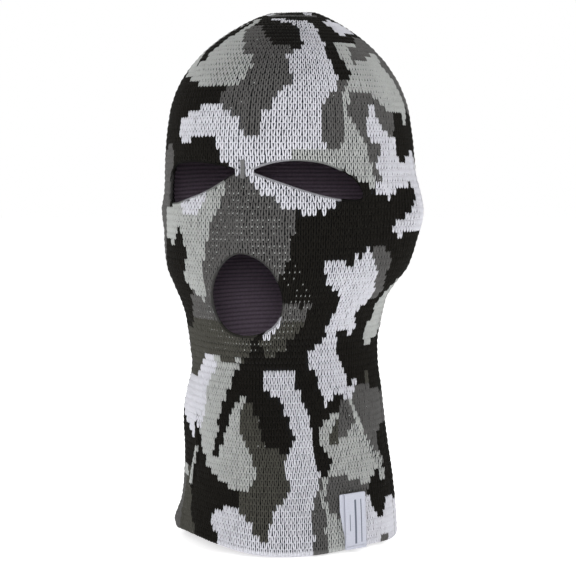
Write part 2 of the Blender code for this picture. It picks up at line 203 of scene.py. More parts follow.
# The camouflage, painted in this order over black: a yarn, and the outline of its patch as angle from the
# face's middle line and climb up the cloth.
CAMOUFLAGE = (
    # crown dark
    (DARK, (
        (-26, 357), (-22, 363), (-12, 363), (5, 345), (20, 340), (24, 325), (24, 300), (16, 285), (10, 268),
        (0, 268), (-10, 280), (-16, 292), (-15, 300), (-12.5, 303), (-13, 308), (-4, 308), (-3.5, 312),
        (-1.5, 317), (0, 319), (-1.5, 323), (-4.5, 330.5), (-9.5, 331), (-12, 338), (-15.5, 343),
        (-20, 350),
    )),
    # left temple
    (DARK, (
        (44.5, 309), (48, 309), (49, 306), (45.5, 300), (45, 290), (45, 270), (43.5, 264.5), (41.5, 261),
        (39, 262), (37, 264), (35, 267), (34, 275), (35, 290), (36, 292.5), (38, 296), (41.5, 301.5),
        (44, 303.5),
    )),
    # nose and chin
    (DARK, (
        (-4, 249), (3, 248), (4.5, 243), (7, 238), (9.5, 236.5), (13, 235), (15, 233), (16, 229.5),
        (18.5, 228), (23, 226), (23.5, 221.5), (23, 217), (23.5, 211.5), (21, 211), (20.5, 201),
        (20.5, 193.5), (18, 186), (10, 150), (6, 142), (4.5, 139.5), (2, 138), (1.5, 132.5), (-3, 129.5),
        (-7, 124.5), (-22, 124), (-40, 128), (-50, 117), (-53, 110), (-70, 112), (-80, 125), (-78, 142),
        (-60, 143), (-50, 146), (-44, 152), (-40, 160), (-38, 168), (-34, 173), (-26, 168), (-23, 174),
        (-25, 180), (-24, 190), (-20, 205), (-16, 222), (-12, 243), (-8, 247),
    )),
    # left of mouth
    (DARK, (
        (20, 166.5), (30, 163), (31, 165), (35.5, 164), (36, 159.5), (33, 159), (33.5, 151.5),
        (30.5, 149.5), (30.5, 144.5), (28.5, 143), (28, 139.5), (24, 140), (23.5, 134), (17, 131.5),
        (16.5, 128), (11, 128), (9.5, 130.5), (9, 137), (8, 141), (14, 145),
    )),
    # throat
    (DARK, (
        (-6, 97.5), (-2, 99), (1.5, 93.5), (2.5, 90.5), (5, 89), (5.5, 83.5), (7, 81.5), (8, 78), (10, 73),
        (12, 72), (12.5, 69.5), (18, 69), (22.5, 65.5), (19.5, 60.5), (20.5, 53), (22.5, 47.5), (21.5, 37),
        (17.5, 35.5), (14, 30.5), (14, 25.5), (12, 22.5), (9.5, 16.5), (10.5, 12.5), (10, 8), (4.5, 8.5),
        (3.5, 13), (0, 14), (-2, 20.5), (-5, 22.5), (-9.5, 26.5), (-11.5, 33), (-10, 42), (-2, 60),
        (-8, 75), (-12, 95),
    )),
    # above label
    (DARK, (
        (38.5, 55), (41, 53), (42, 51), (40.5, 49.5), (39, 43.5), (38.5, 39.5), (39, 33), (39.5, 26),
        (40, 22.5), (39, 17.5), (39.5, 13), (40.5, 8), (40, 0), (30, 0), (30, 20), (33, 40), (36, 50),
    )),
    # behind label
    (DARK, (
        (42, 47), (44.5, 49), (49.5, 49), (51, 52), (54, 47), (62.5, 43.5), (68, 44), (66, 38), (63, 34),
        (60, 20), (52, 10), (49, 15), (47, 18.5), (46.5, 23.5), (44, 24), (43.5, 27.5), (41, 28),
        (41.5, 33), (40.5, 35.5), (41.5, 39.5), (42, 46),
    )),
    # left of neck
    (DARK, (
        (51.5, 93), (51.5, 99), (54, 101), (60, 103), (66, 107), (68, 108), (74, 107), (74, 114), (77, 115),
        (77, 106), (84, 103), (100, 100), (102, 79), (88, 78), (82, 75), (81, 60), (80.5, 53), (77.5, 59.5),
        (70.5, 68), (64, 76.5), (60, 86), (58, 78), (55, 76), (54, 74), (49, 71), (47, 67.5), (45, 70),
        (45.5, 77.5), (46.5, 85), (48, 85), (51.5, 88.5),
    )),
    # left cheek
    (DARK, (
        (60.5, 204), (65, 202), (67.5, 198.5), (72, 193), (71.5, 189), (71, 184), (73, 178), (76, 172),
        (74, 166), (70, 166), (67, 173.5), (64.5, 180), (63, 188), (60.5, 193.5), (59, 199),
    )),
    # right temple
    (DARK, (
        (-47, 264), (-50, 266), (-55, 266), (-68, 258), (-70, 235), (-62, 224), (-52, 224), (-49, 232),
        (-50, 245), (-47, 255),
    )),
    # right hem
    (DARK, (
        (-53, 50), (-50, 38), (-50, 30), (-49.5, 20), (-47, 12.5), (-43, 8), (-43, 0), (-80, 0), (-80, 40),
        (-66, 52), (-60, 50),
    )),
    # right forehead
    (LIGHT, (
        (-60, 318), (-52, 313), (-44, 311), (-36, 309), (-31, 306), (-27, 304.5), (-20, 305.5),
        (-14.5, 306.5), (-8, 306), (-4, 307), (-3.5, 312), (-1.5, 317), (0, 319), (-1.5, 323),
        (-4.5, 330.5), (-9.5, 331), (-12, 338), (-15.5, 343), (-20, 350), (-26, 357), (-22, 363),
        (-22, 370), (-28, 374), (-40, 372), (-55, 360), (-62, 345), (-66, 330),
    )),
    # left forehead
    (LIGHT, (
        (50.5, 340), (53.5, 341), (59, 343), (64, 341), (90, 334), (100, 330), (104, 310), (97, 297),
        (90, 287), (87, 279.5), (84, 279.5), (83.5, 286), (82, 289.5), (77.5, 290), (75.5, 286.5),
        (73, 288.5), (68.5, 291), (65.5, 293), (63, 295), (62.5, 298.5), (54.5, 299), (49.5, 299.5),
        (49, 294.5), (47, 292), (47, 284.5), (49, 282), (51, 281.5), (51.5, 276.5), (53, 274.5),
        (54, 270.5), (45, 270), (45, 290), (45.5, 300), (48, 305.5), (49.5, 307.5), (53.5, 312.5),
        (54, 316), (50.5, 319), (51, 323), (48, 326), (49.5, 329.5), (48.5, 334.5),
    )),
    # left brow
    (LIGHT, (
        (18, 252), (20, 261), (23, 264), (30, 264.5), (37, 264), (41.5, 261), (44, 265), (46, 270),
        (45.5, 276), (54, 271), (55, 268.5), (56, 265.5), (55.5, 262), (57, 258.5), (57.5, 255.5),
        (58, 252), (59, 248), (60.5, 245), (61.5, 242), (57.5, 240.5), (54, 242), (52, 243), (45, 250),
        (32, 252), (20, 250),
    )),
    # right cheek
    (LIGHT, (
        (-11, 243), (-10.5, 237), (-13.5, 229), (-15, 224), (-16, 221.5), (-19, 218.5), (-19, 207.5),
        (-20.5, 206), (-21.5, 201), (-22, 195.5), (-23.5, 189), (-24.5, 185), (-25, 178.5), (-23, 174),
        (-26, 166), (-29, 166.5), (-33, 172), (-37, 176), (-38, 180.5), (-37, 188), (-34, 194.5),
        (-35, 200.5), (-36.5, 206), (-37.5, 210.5), (-40.5, 214.5), (-41.5, 209), (-44, 204), (-48, 204),
        (-55, 208), (-62, 212), (-64, 222), (-52, 226), (-45, 230), (-38, 235), (-30, 241), (-20, 248),
        (-13, 250),
    )),
    # throat light
    (LIGHT, (
        (-32, 127.5), (-22, 125.5), (-17.5, 125), (-10, 127.5), (-7.5, 124), (-11.5, 121), (-14.5, 120.5),
        (-15, 117.5), (-17.5, 117), (-18, 107.5), (-21, 106), (-21, 98.5), (-24, 97), (-24.5, 90),
        (-26.5, 89), (-26.5, 80), (-28.5, 76), (-30.5, 64), (-25.5, 62.5), (-25, 71.5), (-22.5, 72.5),
        (-23, 79), (-21.5, 80), (-19, 84.5), (-18.5, 88.5), (-16, 93), (-15, 95.5), (-12.5, 98.5),
        (-10, 103), (-8, 104), (-3.5, 102), (-3, 98.5), (-6.5, 99), (-8, 96.5), (-10.5, 95.5), (-10, 78),
        (-8, 76.5), (-5, 72), (-4, 65.5), (0.5, 65), (3, 57), (3, 52), (1, 50.5), (0.5, 47.5), (-2, 44),
        (-12, 42), (-19, 42.5), (-20, 46), (-24.5, 46), (-25.5, 48.5), (-29, 48.5), (-31, 52.5), (-35, 54),
        (-37, 60.5), (-38, 64), (-41, 65), (-43.5, 77.5), (-47, 84), (-38, 90), (-37.5, 100), (-36.5, 108),
        (-34, 115.5), (-31, 116.5), (-30.5, 123),
    )),
    # beside label
    (LIGHT, (
        (41, 50.5), (44.5, 50), (42, 46), (41.5, 39.5), (40.5, 35.5), (41.5, 33), (41, 28), (43.5, 27.5),
        (44, 24), (46.5, 23.5), (47, 18.5), (50, 16), (53, 10), (54, 0), (40, 0), (40.5, 8), (39.5, 13),
        (39, 17.5), (40, 22.5), (39.5, 26), (39, 33), (38.5, 39.5), (39, 43.5), (40.5, 49.5),
    )),
    # left neck
    (LIGHT, (
        (42.5, 54.5), (45, 57.5), (45.5, 62.5), (43, 66), (40.5, 69.5), (39.5, 76.5), (40, 80), (41.5, 86),
        (44.5, 86.5), (45, 90), (46.5, 92.5), (51.5, 91.5), (51.5, 88.5), (48, 85), (46.5, 85),
        (45.5, 77.5), (45, 70), (47, 68), (49, 71.5), (50.5, 73.5), (54, 74.5), (55, 76.5), (58, 78),
        (59, 84), (64, 76.5), (70.5, 68), (77.5, 59.5), (80.5, 53), (81, 41), (78, 45), (76.5, 49.5),
        (73, 48.5), (69.5, 44), (63, 43.5), (56, 47), (53.5, 47.5), (53, 51), (51.5, 51.5), (49.5, 48.5),
        (45, 49.5), (42, 51),
    )),
    # left nape
    (LIGHT, (
        (80, 168), (77, 160), (78, 152), (75, 147), (73, 141), (74, 136), (76, 131), (82, 134), (90, 136),
        (100, 140), (104, 160), (100, 178), (88, 176),
    )),
    # right fold
    (LIGHT, (
        (-45, 68), (-43, 66), (-47, 52), (-49.5, 38), (-53, 38), (-50, 52), (-46.5, 64),
    )),
    # left crown dark
    (DARK, (
        (61, 337), (58.5, 330.5), (56.5, 325), (58, 321.5), (59.5, 325.5), (62.5, 326.5), (70, 326.5),
        (74, 330), (84, 333), (100, 335), (100, 348), (84, 350), (76, 349), (70.5, 338), (66, 339),
    )),
    # left forehead dark
    (DARK, (
        (49.5, 300), (62.5, 299), (68.5, 291), (75.5, 286.5), (74, 279), (73.5, 274), (69, 273), (66, 275),
        (60, 285), (54, 270.5), (53, 274.5), (51.5, 276.5), (51, 281.5), (49, 282), (47, 284.5), (47, 292),
        (49, 294.5),
    )),
    # temple crease
    (DARK, (
        (55, 271.5), (58.5, 269.5), (61.5, 267), (64, 265.5), (64, 262.5), (62, 259), (60.5, 255.5),
        (59, 255), (60.5, 250.5), (63, 245), (65.5, 241), (63, 241), (60, 245), (59, 248), (58, 252),
        (57, 258.5), (55.5, 262), (56, 265.5), (55, 268.5),
    )),
    # crown
    (WHITE, (
        (-31, 375), (-18, 373), (4, 369), (14, 366), (20, 362), (24, 358), (26, 354), (26.5, 344),
        (28.5, 340), (26, 337), (25, 333), (20, 331), (17.5, 328), (18.5, 322), (20.5, 316), (21, 310),
        (21.5, 303), (15, 302), (15, 297.5), (13, 296.5), (13, 289), (10, 288.5), (8.3, 284), (8.5, 273.5),
        (5.5, 271), (2.5, 271.5), (2, 273.5), (-1.5, 275), (-2.5, 283), (-6, 283.5), (-7.5, 287.5),
        (-11, 288), (-12.5, 291.5), (-14.5, 293.5), (-22, 293), (-27.5, 291.5), (-28, 288), (-35, 286),
        (-41.5, 282), (-41, 276), (-42.5, 271.5), (-37, 269), (-30, 270), (-22, 270.5), (-17, 270),
        (-16, 266.5), (-14.5, 262.5), (-13, 257.5), (-10.5, 257), (-9.5, 253.5), (-6, 252), (-3.5, 250),
        (-3, 247), (0, 247), (4, 247), (8, 249), (14, 252), (20, 254), (22, 258), (23, 264), (25, 265),
        (30, 264.5), (37, 264), (37, 266.5), (35, 267.5), (34.5, 270), (34.5, 273.5), (36, 275),
        (34.5, 279), (35, 290), (36, 292.5), (38, 296), (39, 298.5), (41.5, 301.5), (44, 303.5),
        (44.5, 309), (44.5, 313.5), (43.5, 316.5), (43.5, 322), (42, 327), (41, 331), (43, 338.5),
        (41.5, 343.5), (41, 348), (43, 355.5), (41, 362), (38, 366), (34, 369), (30, 371),
    )),
    # under left eye
    (WHITE, (
        (1.5, 248), (4.5, 243), (7, 238), (9.5, 236.5), (13, 235), (15, 233), (16, 229.5), (18.5, 228),
        (21, 226.5), (24.5, 225), (29, 224), (31.5, 222), (32.5, 225.5), (35.5, 224.5), (37, 227),
        (40, 226.5), (41, 229), (43, 231.5), (43, 236), (20, 246), (6, 252),
    )),
    # left crown
    (WHITE, (
        (57, 370), (60, 366), (58, 363), (63, 359), (59, 354.5), (61, 351.5), (67, 350), (71, 353),
        (84, 354), (95, 360), (90, 368), (72, 373),
    )),
    # left ear
    (WHITE, (
        (60, 293), (62, 290.5), (62.5, 287), (64.5, 284), (65, 280), (67, 276), (69, 274), (72, 273.5),
        (74.5, 271), (74.5, 261), (75.5, 257.5), (77.5, 255), (79, 253.5), (82, 257), (85, 261), (95, 263),
        (100, 250), (104, 230), (102, 212), (90, 208.5), (83, 211), (79, 209), (76, 206.5), (73.5, 211),
        (71, 212.5), (72, 218), (74.5, 220), (77, 219), (80, 221.5), (82, 225.5), (83.5, 228.5), (86, 235),
        (85, 239), (83.5, 241.5), (80, 240.5), (75.5, 241), (73, 237.5), (71, 235), (68, 232.5), (65, 236),
        (62, 236.5), (57, 237), (56, 239), (61, 241), (65.5, 241), (63, 245), (60.5, 250.5), (60, 255.5),
        (62, 259), (64, 262.5), (64, 265.5), (61.5, 267), (58.5, 269.5), (56, 273), (57, 280), (57.5, 284),
        (59, 291.5),
    )),
    # under right eye
    (WHITE, (
        (-38, 230), (-31, 236), (-25, 240), (-22, 238), (-22, 231), (-25, 226), (-28, 222), (-31, 221),
        (-34, 223), (-38, 226.5),
    )),
    # mouth corner
    (WHITE, (
        (10, 143), (13, 141.5), (17.5, 146), (21, 152), (20, 157), (14, 151),
    )),
    # far cheek
    (DARK, (
        (-57, 242), (-56, 226), (-55, 214), (-58, 200), (-63, 188), (-78, 186), (-90, 200), (-90, 242),
    )),
    # right neck
    (WHITE, (
        (-37, 130), (-41, 129), (-43.5, 122.5), (-50, 117), (-53, 112), (-65, 114), (-80, 110), (-80, 95),
        (-72, 88), (-62, 80), (-56, 74), (-51.5, 70), (-49, 78), (-47, 84), (-42, 80), (-38, 90),
        (-37.5, 100), (-36.5, 108), (-34, 115.5), (-31, 116.5), (-30.5, 123), (-32, 127.5),
    )),
    # throat white
    (WHITE, (
        (-23.5, 0), (-23.5, 6.5), (-27.5, 10), (-29, 15), (-29.5, 21.5), (-27, 22.5), (-26, 26),
        (-22, 27.5), (-21.5, 30), (-20, 31.5), (-13, 32), (-11, 30), (-9, 27), (-5, 22.5), (-2, 20.5),
        (0, 14.5), (3.5, 13.5), (4.5, 9.5), (10, 8), (10.5, 12.5), (9.5, 16.5), (12, 22.5), (14, 25.5),
        (14, 30.5), (17.5, 35.5), (21.5, 37), (22.5, 47.5), (20.5, 53), (19.5, 60.5), (22, 65.5),
        (23.5, 66), (24.5, 69.5), (25, 75), (26.5, 76.5), (24.5, 81.5), (23.5, 84.5), (23, 90.5),
        (20.5, 90.5), (19.5, 98.5), (18, 101), (16.5, 105), (12, 105.5), (10.5, 109), (9, 109), (9, 119.5),
        (13, 120.5), (27, 121), (27, 109), (29.5, 108.5), (30, 98), (31, 98.5), (33, 96), (34, 90),
        (34.5, 84), (35.5, 83), (35.5, 71), (36.5, 66.5), (37.5, 61.5), (37.5, 57.5), (38.5, 55),
        (38, 46.5), (36.5, 42.5), (35, 39), (34.5, 33.5), (33.5, 31), (32.5, 20.5), (33.5, 15.5),
        (33.5, 9.5), (32, 0),
    )),
    # left hem
    (WHITE, (
        (58, 0), (60, 20), (62, 36), (66, 34), (68, 30.5), (69, 25), (70.5, 20.5), (78.5, 17.5), (80, 22),
        (83, 28), (90, 30), (100, 26), (112, 18), (112, 0),
    )),
    # left jaw
    (WHITE, (
        (35.5, 191), (39.5, 196), (44, 193.5), (48.5, 190), (50.5, 190.5), (50.5, 196.5), (54, 195.5),
        (55, 199.5), (56, 201.5), (59, 198.5), (60.5, 193.5), (63, 188), (64.5, 180), (67, 173.5),
        (70, 166), (69.5, 163.5), (68, 164.5), (66, 161.5), (63.5, 159.5), (62.5, 154.5), (65.5, 148.5),
        (65.5, 143), (64, 144.5), (61.5, 140.5), (57.5, 143.5), (53.5, 146.5), (52, 146), (53.5, 135),
        (52, 130.5), (54.5, 125.5), (54.5, 121), (57, 118), (58.5, 112.5), (57.5, 110.5), (60.5, 108),
        (63, 110), (67, 114), (64, 106), (61.5, 100.5), (57.5, 99.5), (52, 102.5), (49.5, 105.5),
        (48.5, 102.5), (48, 100), (45.5, 99.5), (45, 96), (42.5, 97), (42.5, 105), (39.5, 107), (39.5, 119),
        (38, 120.5), (35, 120.5), (34.5, 127.5), (34, 134), (39.5, 133.5), (40, 136.5), (43, 136),
        (43.5, 138.5), (45, 140), (45.5, 147), (46, 151.5), (46, 157.5), (48.5, 157), (49.5, 160),
        (47.5, 169), (45, 173.5), (42, 175), (39, 179), (37, 186),
    )),
    # left hem spot
    (DARK, (
        (73.5, 1.5), (73.5, 5.2), (82, 5.2), (82, 1.5),
    )),
    # right hem fold
    (LIGHT, (
        (-74, 52), (-60, 52), (-58, 44), (-63, 41), (-74, 44),
    )),
    # neck fold: a light strip along the crease ridge, a painted highlight
    (LIGHT, (
        (57, 100), (60.5, 98), (64, 88), (67, 78), (65, 75), (61, 82), (58, 92),
    )),
    # behind temple
    (DARK, (
        (83, 322), (88, 312), (91, 300), (93, 290), (112, 286), (112, 330), (95, 334), (88, 330),
    )),
    # right crown wedge
    (BLACK, (
        (-47, 322), (-39, 327), (-42, 333), (-36, 340), (-37, 347), (-33, 353), (-31, 360), (-30, 368),
        (-36, 372), (-48, 362), (-53, 350), (-55, 340), (-52, 330),
    )),
    # crown black
    (BLACK, (
        (-24, 371), (-12, 362), (-5, 354), (-1.5, 349.5), (3, 346), (5, 340.5), (11.5, 338.5), (18, 338),
        (20, 332.5), (24.5, 333), (25.5, 338), (28, 340.5), (26, 346), (22, 351), (16, 355), (8, 359),
        (0, 363), (-8, 367), (-22, 371), (-30, 374),
    )),
    # far hem
    (DARK, (
        (-64, 0), (-66, 30), (-69, 44), (-72, 62), (-92, 62), (-92, 0),
    )),
)


def srgb(code):
    """The linear colour of a six-figure hexadecimal code."""
    parts = [int(code[k:k + 2], 16) / 255 for k in (0, 2, 4)]
    return tuple(p / 12.92 if p <= 0.04045 else ((p + 0.055) / 1.055) ** 2.4 for p in parts)


YARN_COLOURS = np.array([srgb(code) for code in YARN_CODES])
GAP_FLOAT_AND_SHADE_COLOURS = np.array([srgb(code) for code in GAP_FLOAT_AND_SHADE_CODES])


# The skin of the knitted body --------------------------------------------------------------------------


def monotone_curve(places, values):
    """A smooth curve through the values that never overshoots between them, as a function of the place."""
    places = np.asarray(places, float)
    values = np.asarray(values, float)
    steps = np.diff(places)
    slopes = np.diff(values) / steps
    tangents = np.zeros(len(values))
    same_way = slopes[:-1] * slopes[1:] > 0
    near, far = steps[1:] + 2 * steps[:-1], 2 * steps[1:] + steps[:-1]
    safe = np.where(same_way, slopes[:-1] * slopes[1:], 1.0)
    mixed = (near + far) * safe / np.where(same_way, near * slopes[1:] + far * slopes[:-1], 1.0)
    tangents[1:-1] = np.where(same_way, mixed, 0.0)
    tangents[0], tangents[-1] = slopes[0], slopes[-1]

    def curve(at):
        at = np.clip(at, places[0], places[-1])
        k = np.clip(np.searchsorted(places, at, side="right") - 1, 0, len(steps) - 1)
        t = (at - places[k]) / steps[k]
        start = values[k] * (1 + 2 * t) * (1 - t) ** 2 + tangents[k] * steps[k] * t * (1 - t) ** 2
        end = values[k + 1] * t * t * (3 - 2 * t) + tangents[k + 1] * steps[k] * t * t * (t - 1)
        return start + end

    return curve


def climb_of_sections():
    """How far each section is from the hem, measured up the side of the body."""
    rows = np.array(SECTIONS)
    rise = np.diff(rows[:, 0])
    draw_in = np.diff((rows[:, 1] + rows[:, 4]) / 2)
    return np.concatenate([[0.0], np.cumsum(np.hypot(rise, draw_in))])


CLIMB = climb_of_sections()
CURVES = [monotone_curve(CLIMB, column) for column in np.array(SECTIONS).T]


def wrapped(angle):
    """The angle brought between -180 and 180 degrees."""
    return (np.asarray(angle, float) + 180.0) % 360.0 - 180.0


def hem_lift(angle):
    """How far the cloth rides up from the floor at the hem."""
    return sum(lift * np.exp(-((wrapped(angle) - at) / spread) ** 2) for at, spread, lift in HEM_LIFTS)


def distance_to_line(across, up, line):
    """Distance from each point to a line of straight runs."""
    nearest = np.full(np.shape(across), np.inf)
    for (x0, y0), (x1, y1) in zip(line, line[1:]):
        length = (x1 - x0) ** 2 + (y1 - y0) ** 2
        share = np.clip(((across - x0) * (x1 - x0) + (up - y0) * (y1 - y0)) / length, 0.0, 1.0)
        nearest = np.minimum(nearest, np.hypot(across - x0 - share * (x1 - x0), up - y0 - share * (y1 - y0)))
    return nearest


def crease_push(angle, climb):
    """How far the creases lift the cloth."""
    push = np.zeros(np.broadcast(angle, climb).shape)
    for tall, half_width, line in CREASES:
        scaled = [(turn * MM_PER_DEGREE, rise) for turn, rise in line]
        away = distance_to_line(wrapped(angle) * MM_PER_DEGREE, climb, scaled)
        push += tall * np.exp(-((away / half_width) ** 2))
    return push


def outer(angle, climb, shaped=True):
    """Points of the outer skin in millimetres, at angles in degrees and climbs in millimetres."""
    angle, climb = np.broadcast_arrays(np.asarray(angle, float), np.asarray(climb, float))
    push = np.zeros(angle.shape)
    if shaped:
        push += crease_push(angle, climb)
        share = np.clip(1.0 - climb / HEM_LIFT_FADES_BY, 0.0, 1.0) ** 1.5
        climb = climb + hem_lift(angle) * share
    height, width, middle, front, back, fullness = (curve(climb) for curve in CURVES)
    turn = np.radians(angle)
    across, ahead = np.sin(turn), np.cos(turn)
    faces_ahead = ahead > 0
    power = 2 / np.where(faces_ahead, fullness, BACK_FULLNESS)
    depth = np.where(faces_ahead, front, back)
    for at, level, spread, tall, out in RELIEF:
        push = push + out * np.exp(-((wrapped(angle - at) / spread) ** 2) - ((height - level) / tall) ** 2)
    x = width * np.sign(across) * np.abs(across) ** power + push * across
    y = middle - depth * np.sign(ahead) * np.abs(ahead) ** power - push * ahead
    return np.stack([x, y + SHIFT_Y, height], axis=-1)


def unit(vectors):
    """The vectors brought to length one."""
    return vectors / np.maximum(np.linalg.norm(vectors, axis=-1, keepdims=True), 1e-9)


def skin_frame(angle, climb, shaped=True):
    """Points of the skin in millimetres, with the directions along it, up it and out of it."""
    angle, climb = np.broadcast_arrays(np.asarray(angle, float), np.asarray(climb, float))
    along = outer(angle + 0.6, climb, shaped) - outer(angle - 0.6, climb, shaped)
    low = np.clip(climb - 0.8, 0.0, CLIMB[-1] - 1.6)
    up = outer(angle, low + 1.6, shaped) - outer(angle, low, shaped)
    return outer(angle, climb, shaped), unit(along), unit(up), unit(np.cross(along, up))


def skin(angle, climb, inset=0.0, shaped=True):
    """Points in millimetres that lie inset under the outer skin."""
    points, _, _, out = skin_frame(angle, climb, shaped)
    return points - out * np.asarray(inset)[..., None]


def climb_at_height(height):
    """The climb at which the unshaped skin is at that height."""
    fine = np.linspace(0.0, CLIMB[-1], 4001)
    return np.interp(height, CURVES[0](fine), fine)


def narrowed(is_short, start, end, shape):
    """The bounds of the place, between the start and the end, beyond which is_short is no longer true."""
    low, high = np.full(shape, start), np.full(shape, end)
    for _ in range(30):
        middle = (low + high) / 2
        short = is_short(middle)
        low, high = np.where(short, middle, low), np.where(short, high, middle)
    return low, high


def front_angle(across, climb, inset):
    """The angle at which the front of the skin is that far across."""

    def is_short(angle):
        """Whether the skin at that angle is less far across."""
        return skin(angle, climb, inset)[..., 0] < across

    low, high = narrowed(is_short, -88.0, 88.0, np.shape(climb))
    return (low + high) / 2


def seam_edges(side, climb, towards_back, gap):
    """The angles at which a panel ends, that gap from the seam line of that side."""
    seam = side * SEAM_ANGLE
    start = outer(seam, climb)
    way = side if towards_back else -side

    def is_short(turn):
        """Whether that turn from the seam is less than the gap."""
        return np.linalg.norm(outer(seam + way * turn, climb) - start, axis=-1) < gap

    return seam + way * narrowed(is_short, 0.0, 85.0, np.shape(climb))[1]


PANEL_ROWS = 200
PANEL_COLUMNS = 241


class Panel:
    """One knitted panel: places on it are a share of its width and a climb, and it knows their angles."""

    def __init__(self, name, is_front, wales):
        self.name = name
        self.is_front = is_front
        self.wales = wales
        self.climbs = np.linspace(0.0, CLIMB[-1], PANEL_ROWS)
        self.shares = np.linspace(0.0, 1.0, PANEL_COLUMNS)
        first = -1 if is_front else 1
        starts = seam_edges(first, self.climbs, not is_front, SEAM_GAP / 2)
        ends = seam_edges(-first, self.climbs, not is_front, SEAM_GAP / 2) + (0.0 if is_front else 360.0)
        angles = starts[:, None] + (ends - starts)[:, None] * self.shares
        points = outer(angles, self.climbs[:, None])
        runs = np.cumsum(np.linalg.norm(np.diff(points, axis=1), axis=-1), axis=1)
        runs = np.concatenate([np.zeros((len(self.climbs), 1)), runs], axis=1)
        self.widths = runs[:, -1]
        self.angles = np.empty_like(angles)
        for row, climb in enumerate(self.climbs):
            self.angles[row] = np.interp(self.stretched(climb) * runs[row, -1], runs[row], angles[row])

    def stretched(self, climb):
        """Where the evenly counted wales lie across the panel: closer at the throat, wider at the brow."""
        if not self.is_front:
            return self.shares
        low, high = BROW_CLIMBS
        change = -NECK_SQUEEZE * math.exp(-(((climb - NECK_CLIMB) / NECK_SPREAD) ** 2))
        change += BROW_STRETCH * min(max((climb - low) / (high - low), 0.0), 1.0)
        return self.shares + change * np.sin(2 * np.pi * (self.shares - 0.5)) / (2 * np.pi)

    def angle(self, share, climb):
        """The angles of those shares of the width at those climbs."""
        share, climb = np.broadcast_arrays(np.asarray(share, float), np.asarray(climb, float))
        row = np.clip(climb / self.climbs[-1] * (len(self.climbs) - 1), 0, len(self.climbs) - 1.001)
        column = np.clip(share * (len(self.shares) - 1), 0, len(self.shares) - 1.001)
        i, j = row.astype(int), column.astype(int)
        a, b = row - i, column - j
        low = self.angles[i, j] * (1 - b) + self.angles[i, j + 1] * b
        high = self.angles[i + 1, j] * (1 - b) + self.angles[i + 1, j + 1] * b
        return low * (1 - a) + high * a

    def width(self, climb):
        """How wide the panel is there, in millimetres."""
        return np.interp(climb, self.climbs, self.widths)


# The camouflage ----------------------------------------------------------------------------------------


def inside(across, up, outline):
    """Which points are inside the closed outline."""
    found = np.zeros(np.shape(across), bool)
    for k, (x1, y1) in enumerate(outline):
        x0, y0 = outline[k - 1]
        crosses = (y0 > up) != (y1 > up)
        place = x0 + (up - y0) * (x1 - x0) / (y1 - y0 if y1 != y0 else 1.0)
        found ^= crosses & (across < place)
    return found


def yarn_at(angle, climb):
    """The yarn of the camouflage at each place. The sides and back repeat the front's pattern, shifted."""
    angle = wrapped(angle)
    climb = np.asarray(climb, float)
    behind = (angle > PATTERN_REACH - BACK_WANDER * np.sin(climb / 19.0)) | (angle < -SEAM_ANGLE)
    drawn = np.any([(climb > low) & (climb < high) for low, high in DRAWN_CLIMBS], axis=0)
    far_side = ~behind & (angle < FAR_SIDE + FAR_WANDER * np.sin(climb / 17.0)) & ~drawn
    pattern_angle = np.where(behind, wrapped(angle - BACK_TURN), np.where(far_side, -angle - FAR_TURN, angle))
    pattern_climb = climb + np.where(behind, BACK_RISE, np.where(far_side, FAR_RISE, 0.0))
    pattern_climb = np.where(pattern_climb > PATTERN_TOP, pattern_climb - PATTERN_REPEAT, pattern_climb)
    yarn = np.full(angle.shape, BLACK)
    for colour, outline in CAMOUFLAGE:
        yarn[inside(pattern_angle, pattern_climb, outline)] = colour
    yarn[(np.abs(angle) > SEAM_ANGLE) & (climb > BLACK_ABOVE)] = BLACK
    in_front = (pattern_angle > CROWN_ANGLES[0]) & (pattern_angle < CROWN_ANGLES[1])
    yarn[in_front & (pattern_climb > CROWN_END) & (yarn == BLACK)] = DARK
    paler = np.any([(angle > low) & (angle < high) & (climb < top)
                    for low, high, top in PALER_PLACES], axis=0)
    yarn[(yarn == DARK) & (climb < DARKER_BELOW) & ~paler] = CHARCOAL
    return yarn


def without_specks(rows):
    """The courses' yarns with single odd stitches given their neighbours' yarn."""
    cleaned = [row.copy() for row in rows]
    for i in range(1, len(rows) - 1):
        count = len(rows[i])
        if count < 4:
            continue
        place = (np.arange(count) + 0.5) / count
        near = [np.roll(rows[i], 1), np.roll(rows[i], -1)]
        for other in (rows[i - 1], rows[i + 1]):
            column = (place * len(other)).astype(int)
            near += [other[np.clip(column + step, 0, len(other) - 1)] for step in (-1, 0, 1)]
        near = np.array(near)
        alike = (near == rows[i]).sum(axis=0)
        counts = np.array([(near == yarn).sum(axis=0) for yarn in range(len(YARN_NAMES))])
        cleaned[i] = np.where(alike <= 1, counts.argmax(axis=0), rows[i])
    return cleaned


# Openings ----------------------------------------------------------------------------------------------


def smooth_outline(points, count):
    """Evenly spaced points on a closed smooth curve through the given ones."""
    given = np.array(points, float)
    before, end, after = (np.roll(given, shift, axis=0) for shift in (1, -1, -2))
    t = np.linspace(0.0, 1.0, 24, endpoint=False)[:, None, None]
    fine = 0.5 * (2 * given + (end - before) * t
                  + (2 * before - 5 * given + 4 * end - after) * t**2
                  + (3 * given - before - 3 * end + after) * t**3)
    fine = fine.transpose(1, 0, 2).reshape(-1, 2)
    closed = np.vstack([fine, fine[:1]])
    run = np.concatenate([[0.0], np.cumsum(np.linalg.norm(np.diff(closed, axis=0), axis=1))])
    goals = np.linspace(0.0, run[-1], count, endpoint=False)
    return np.stack([np.interp(goals, run, closed[:, k]) for k in (0, 1)], axis=1)


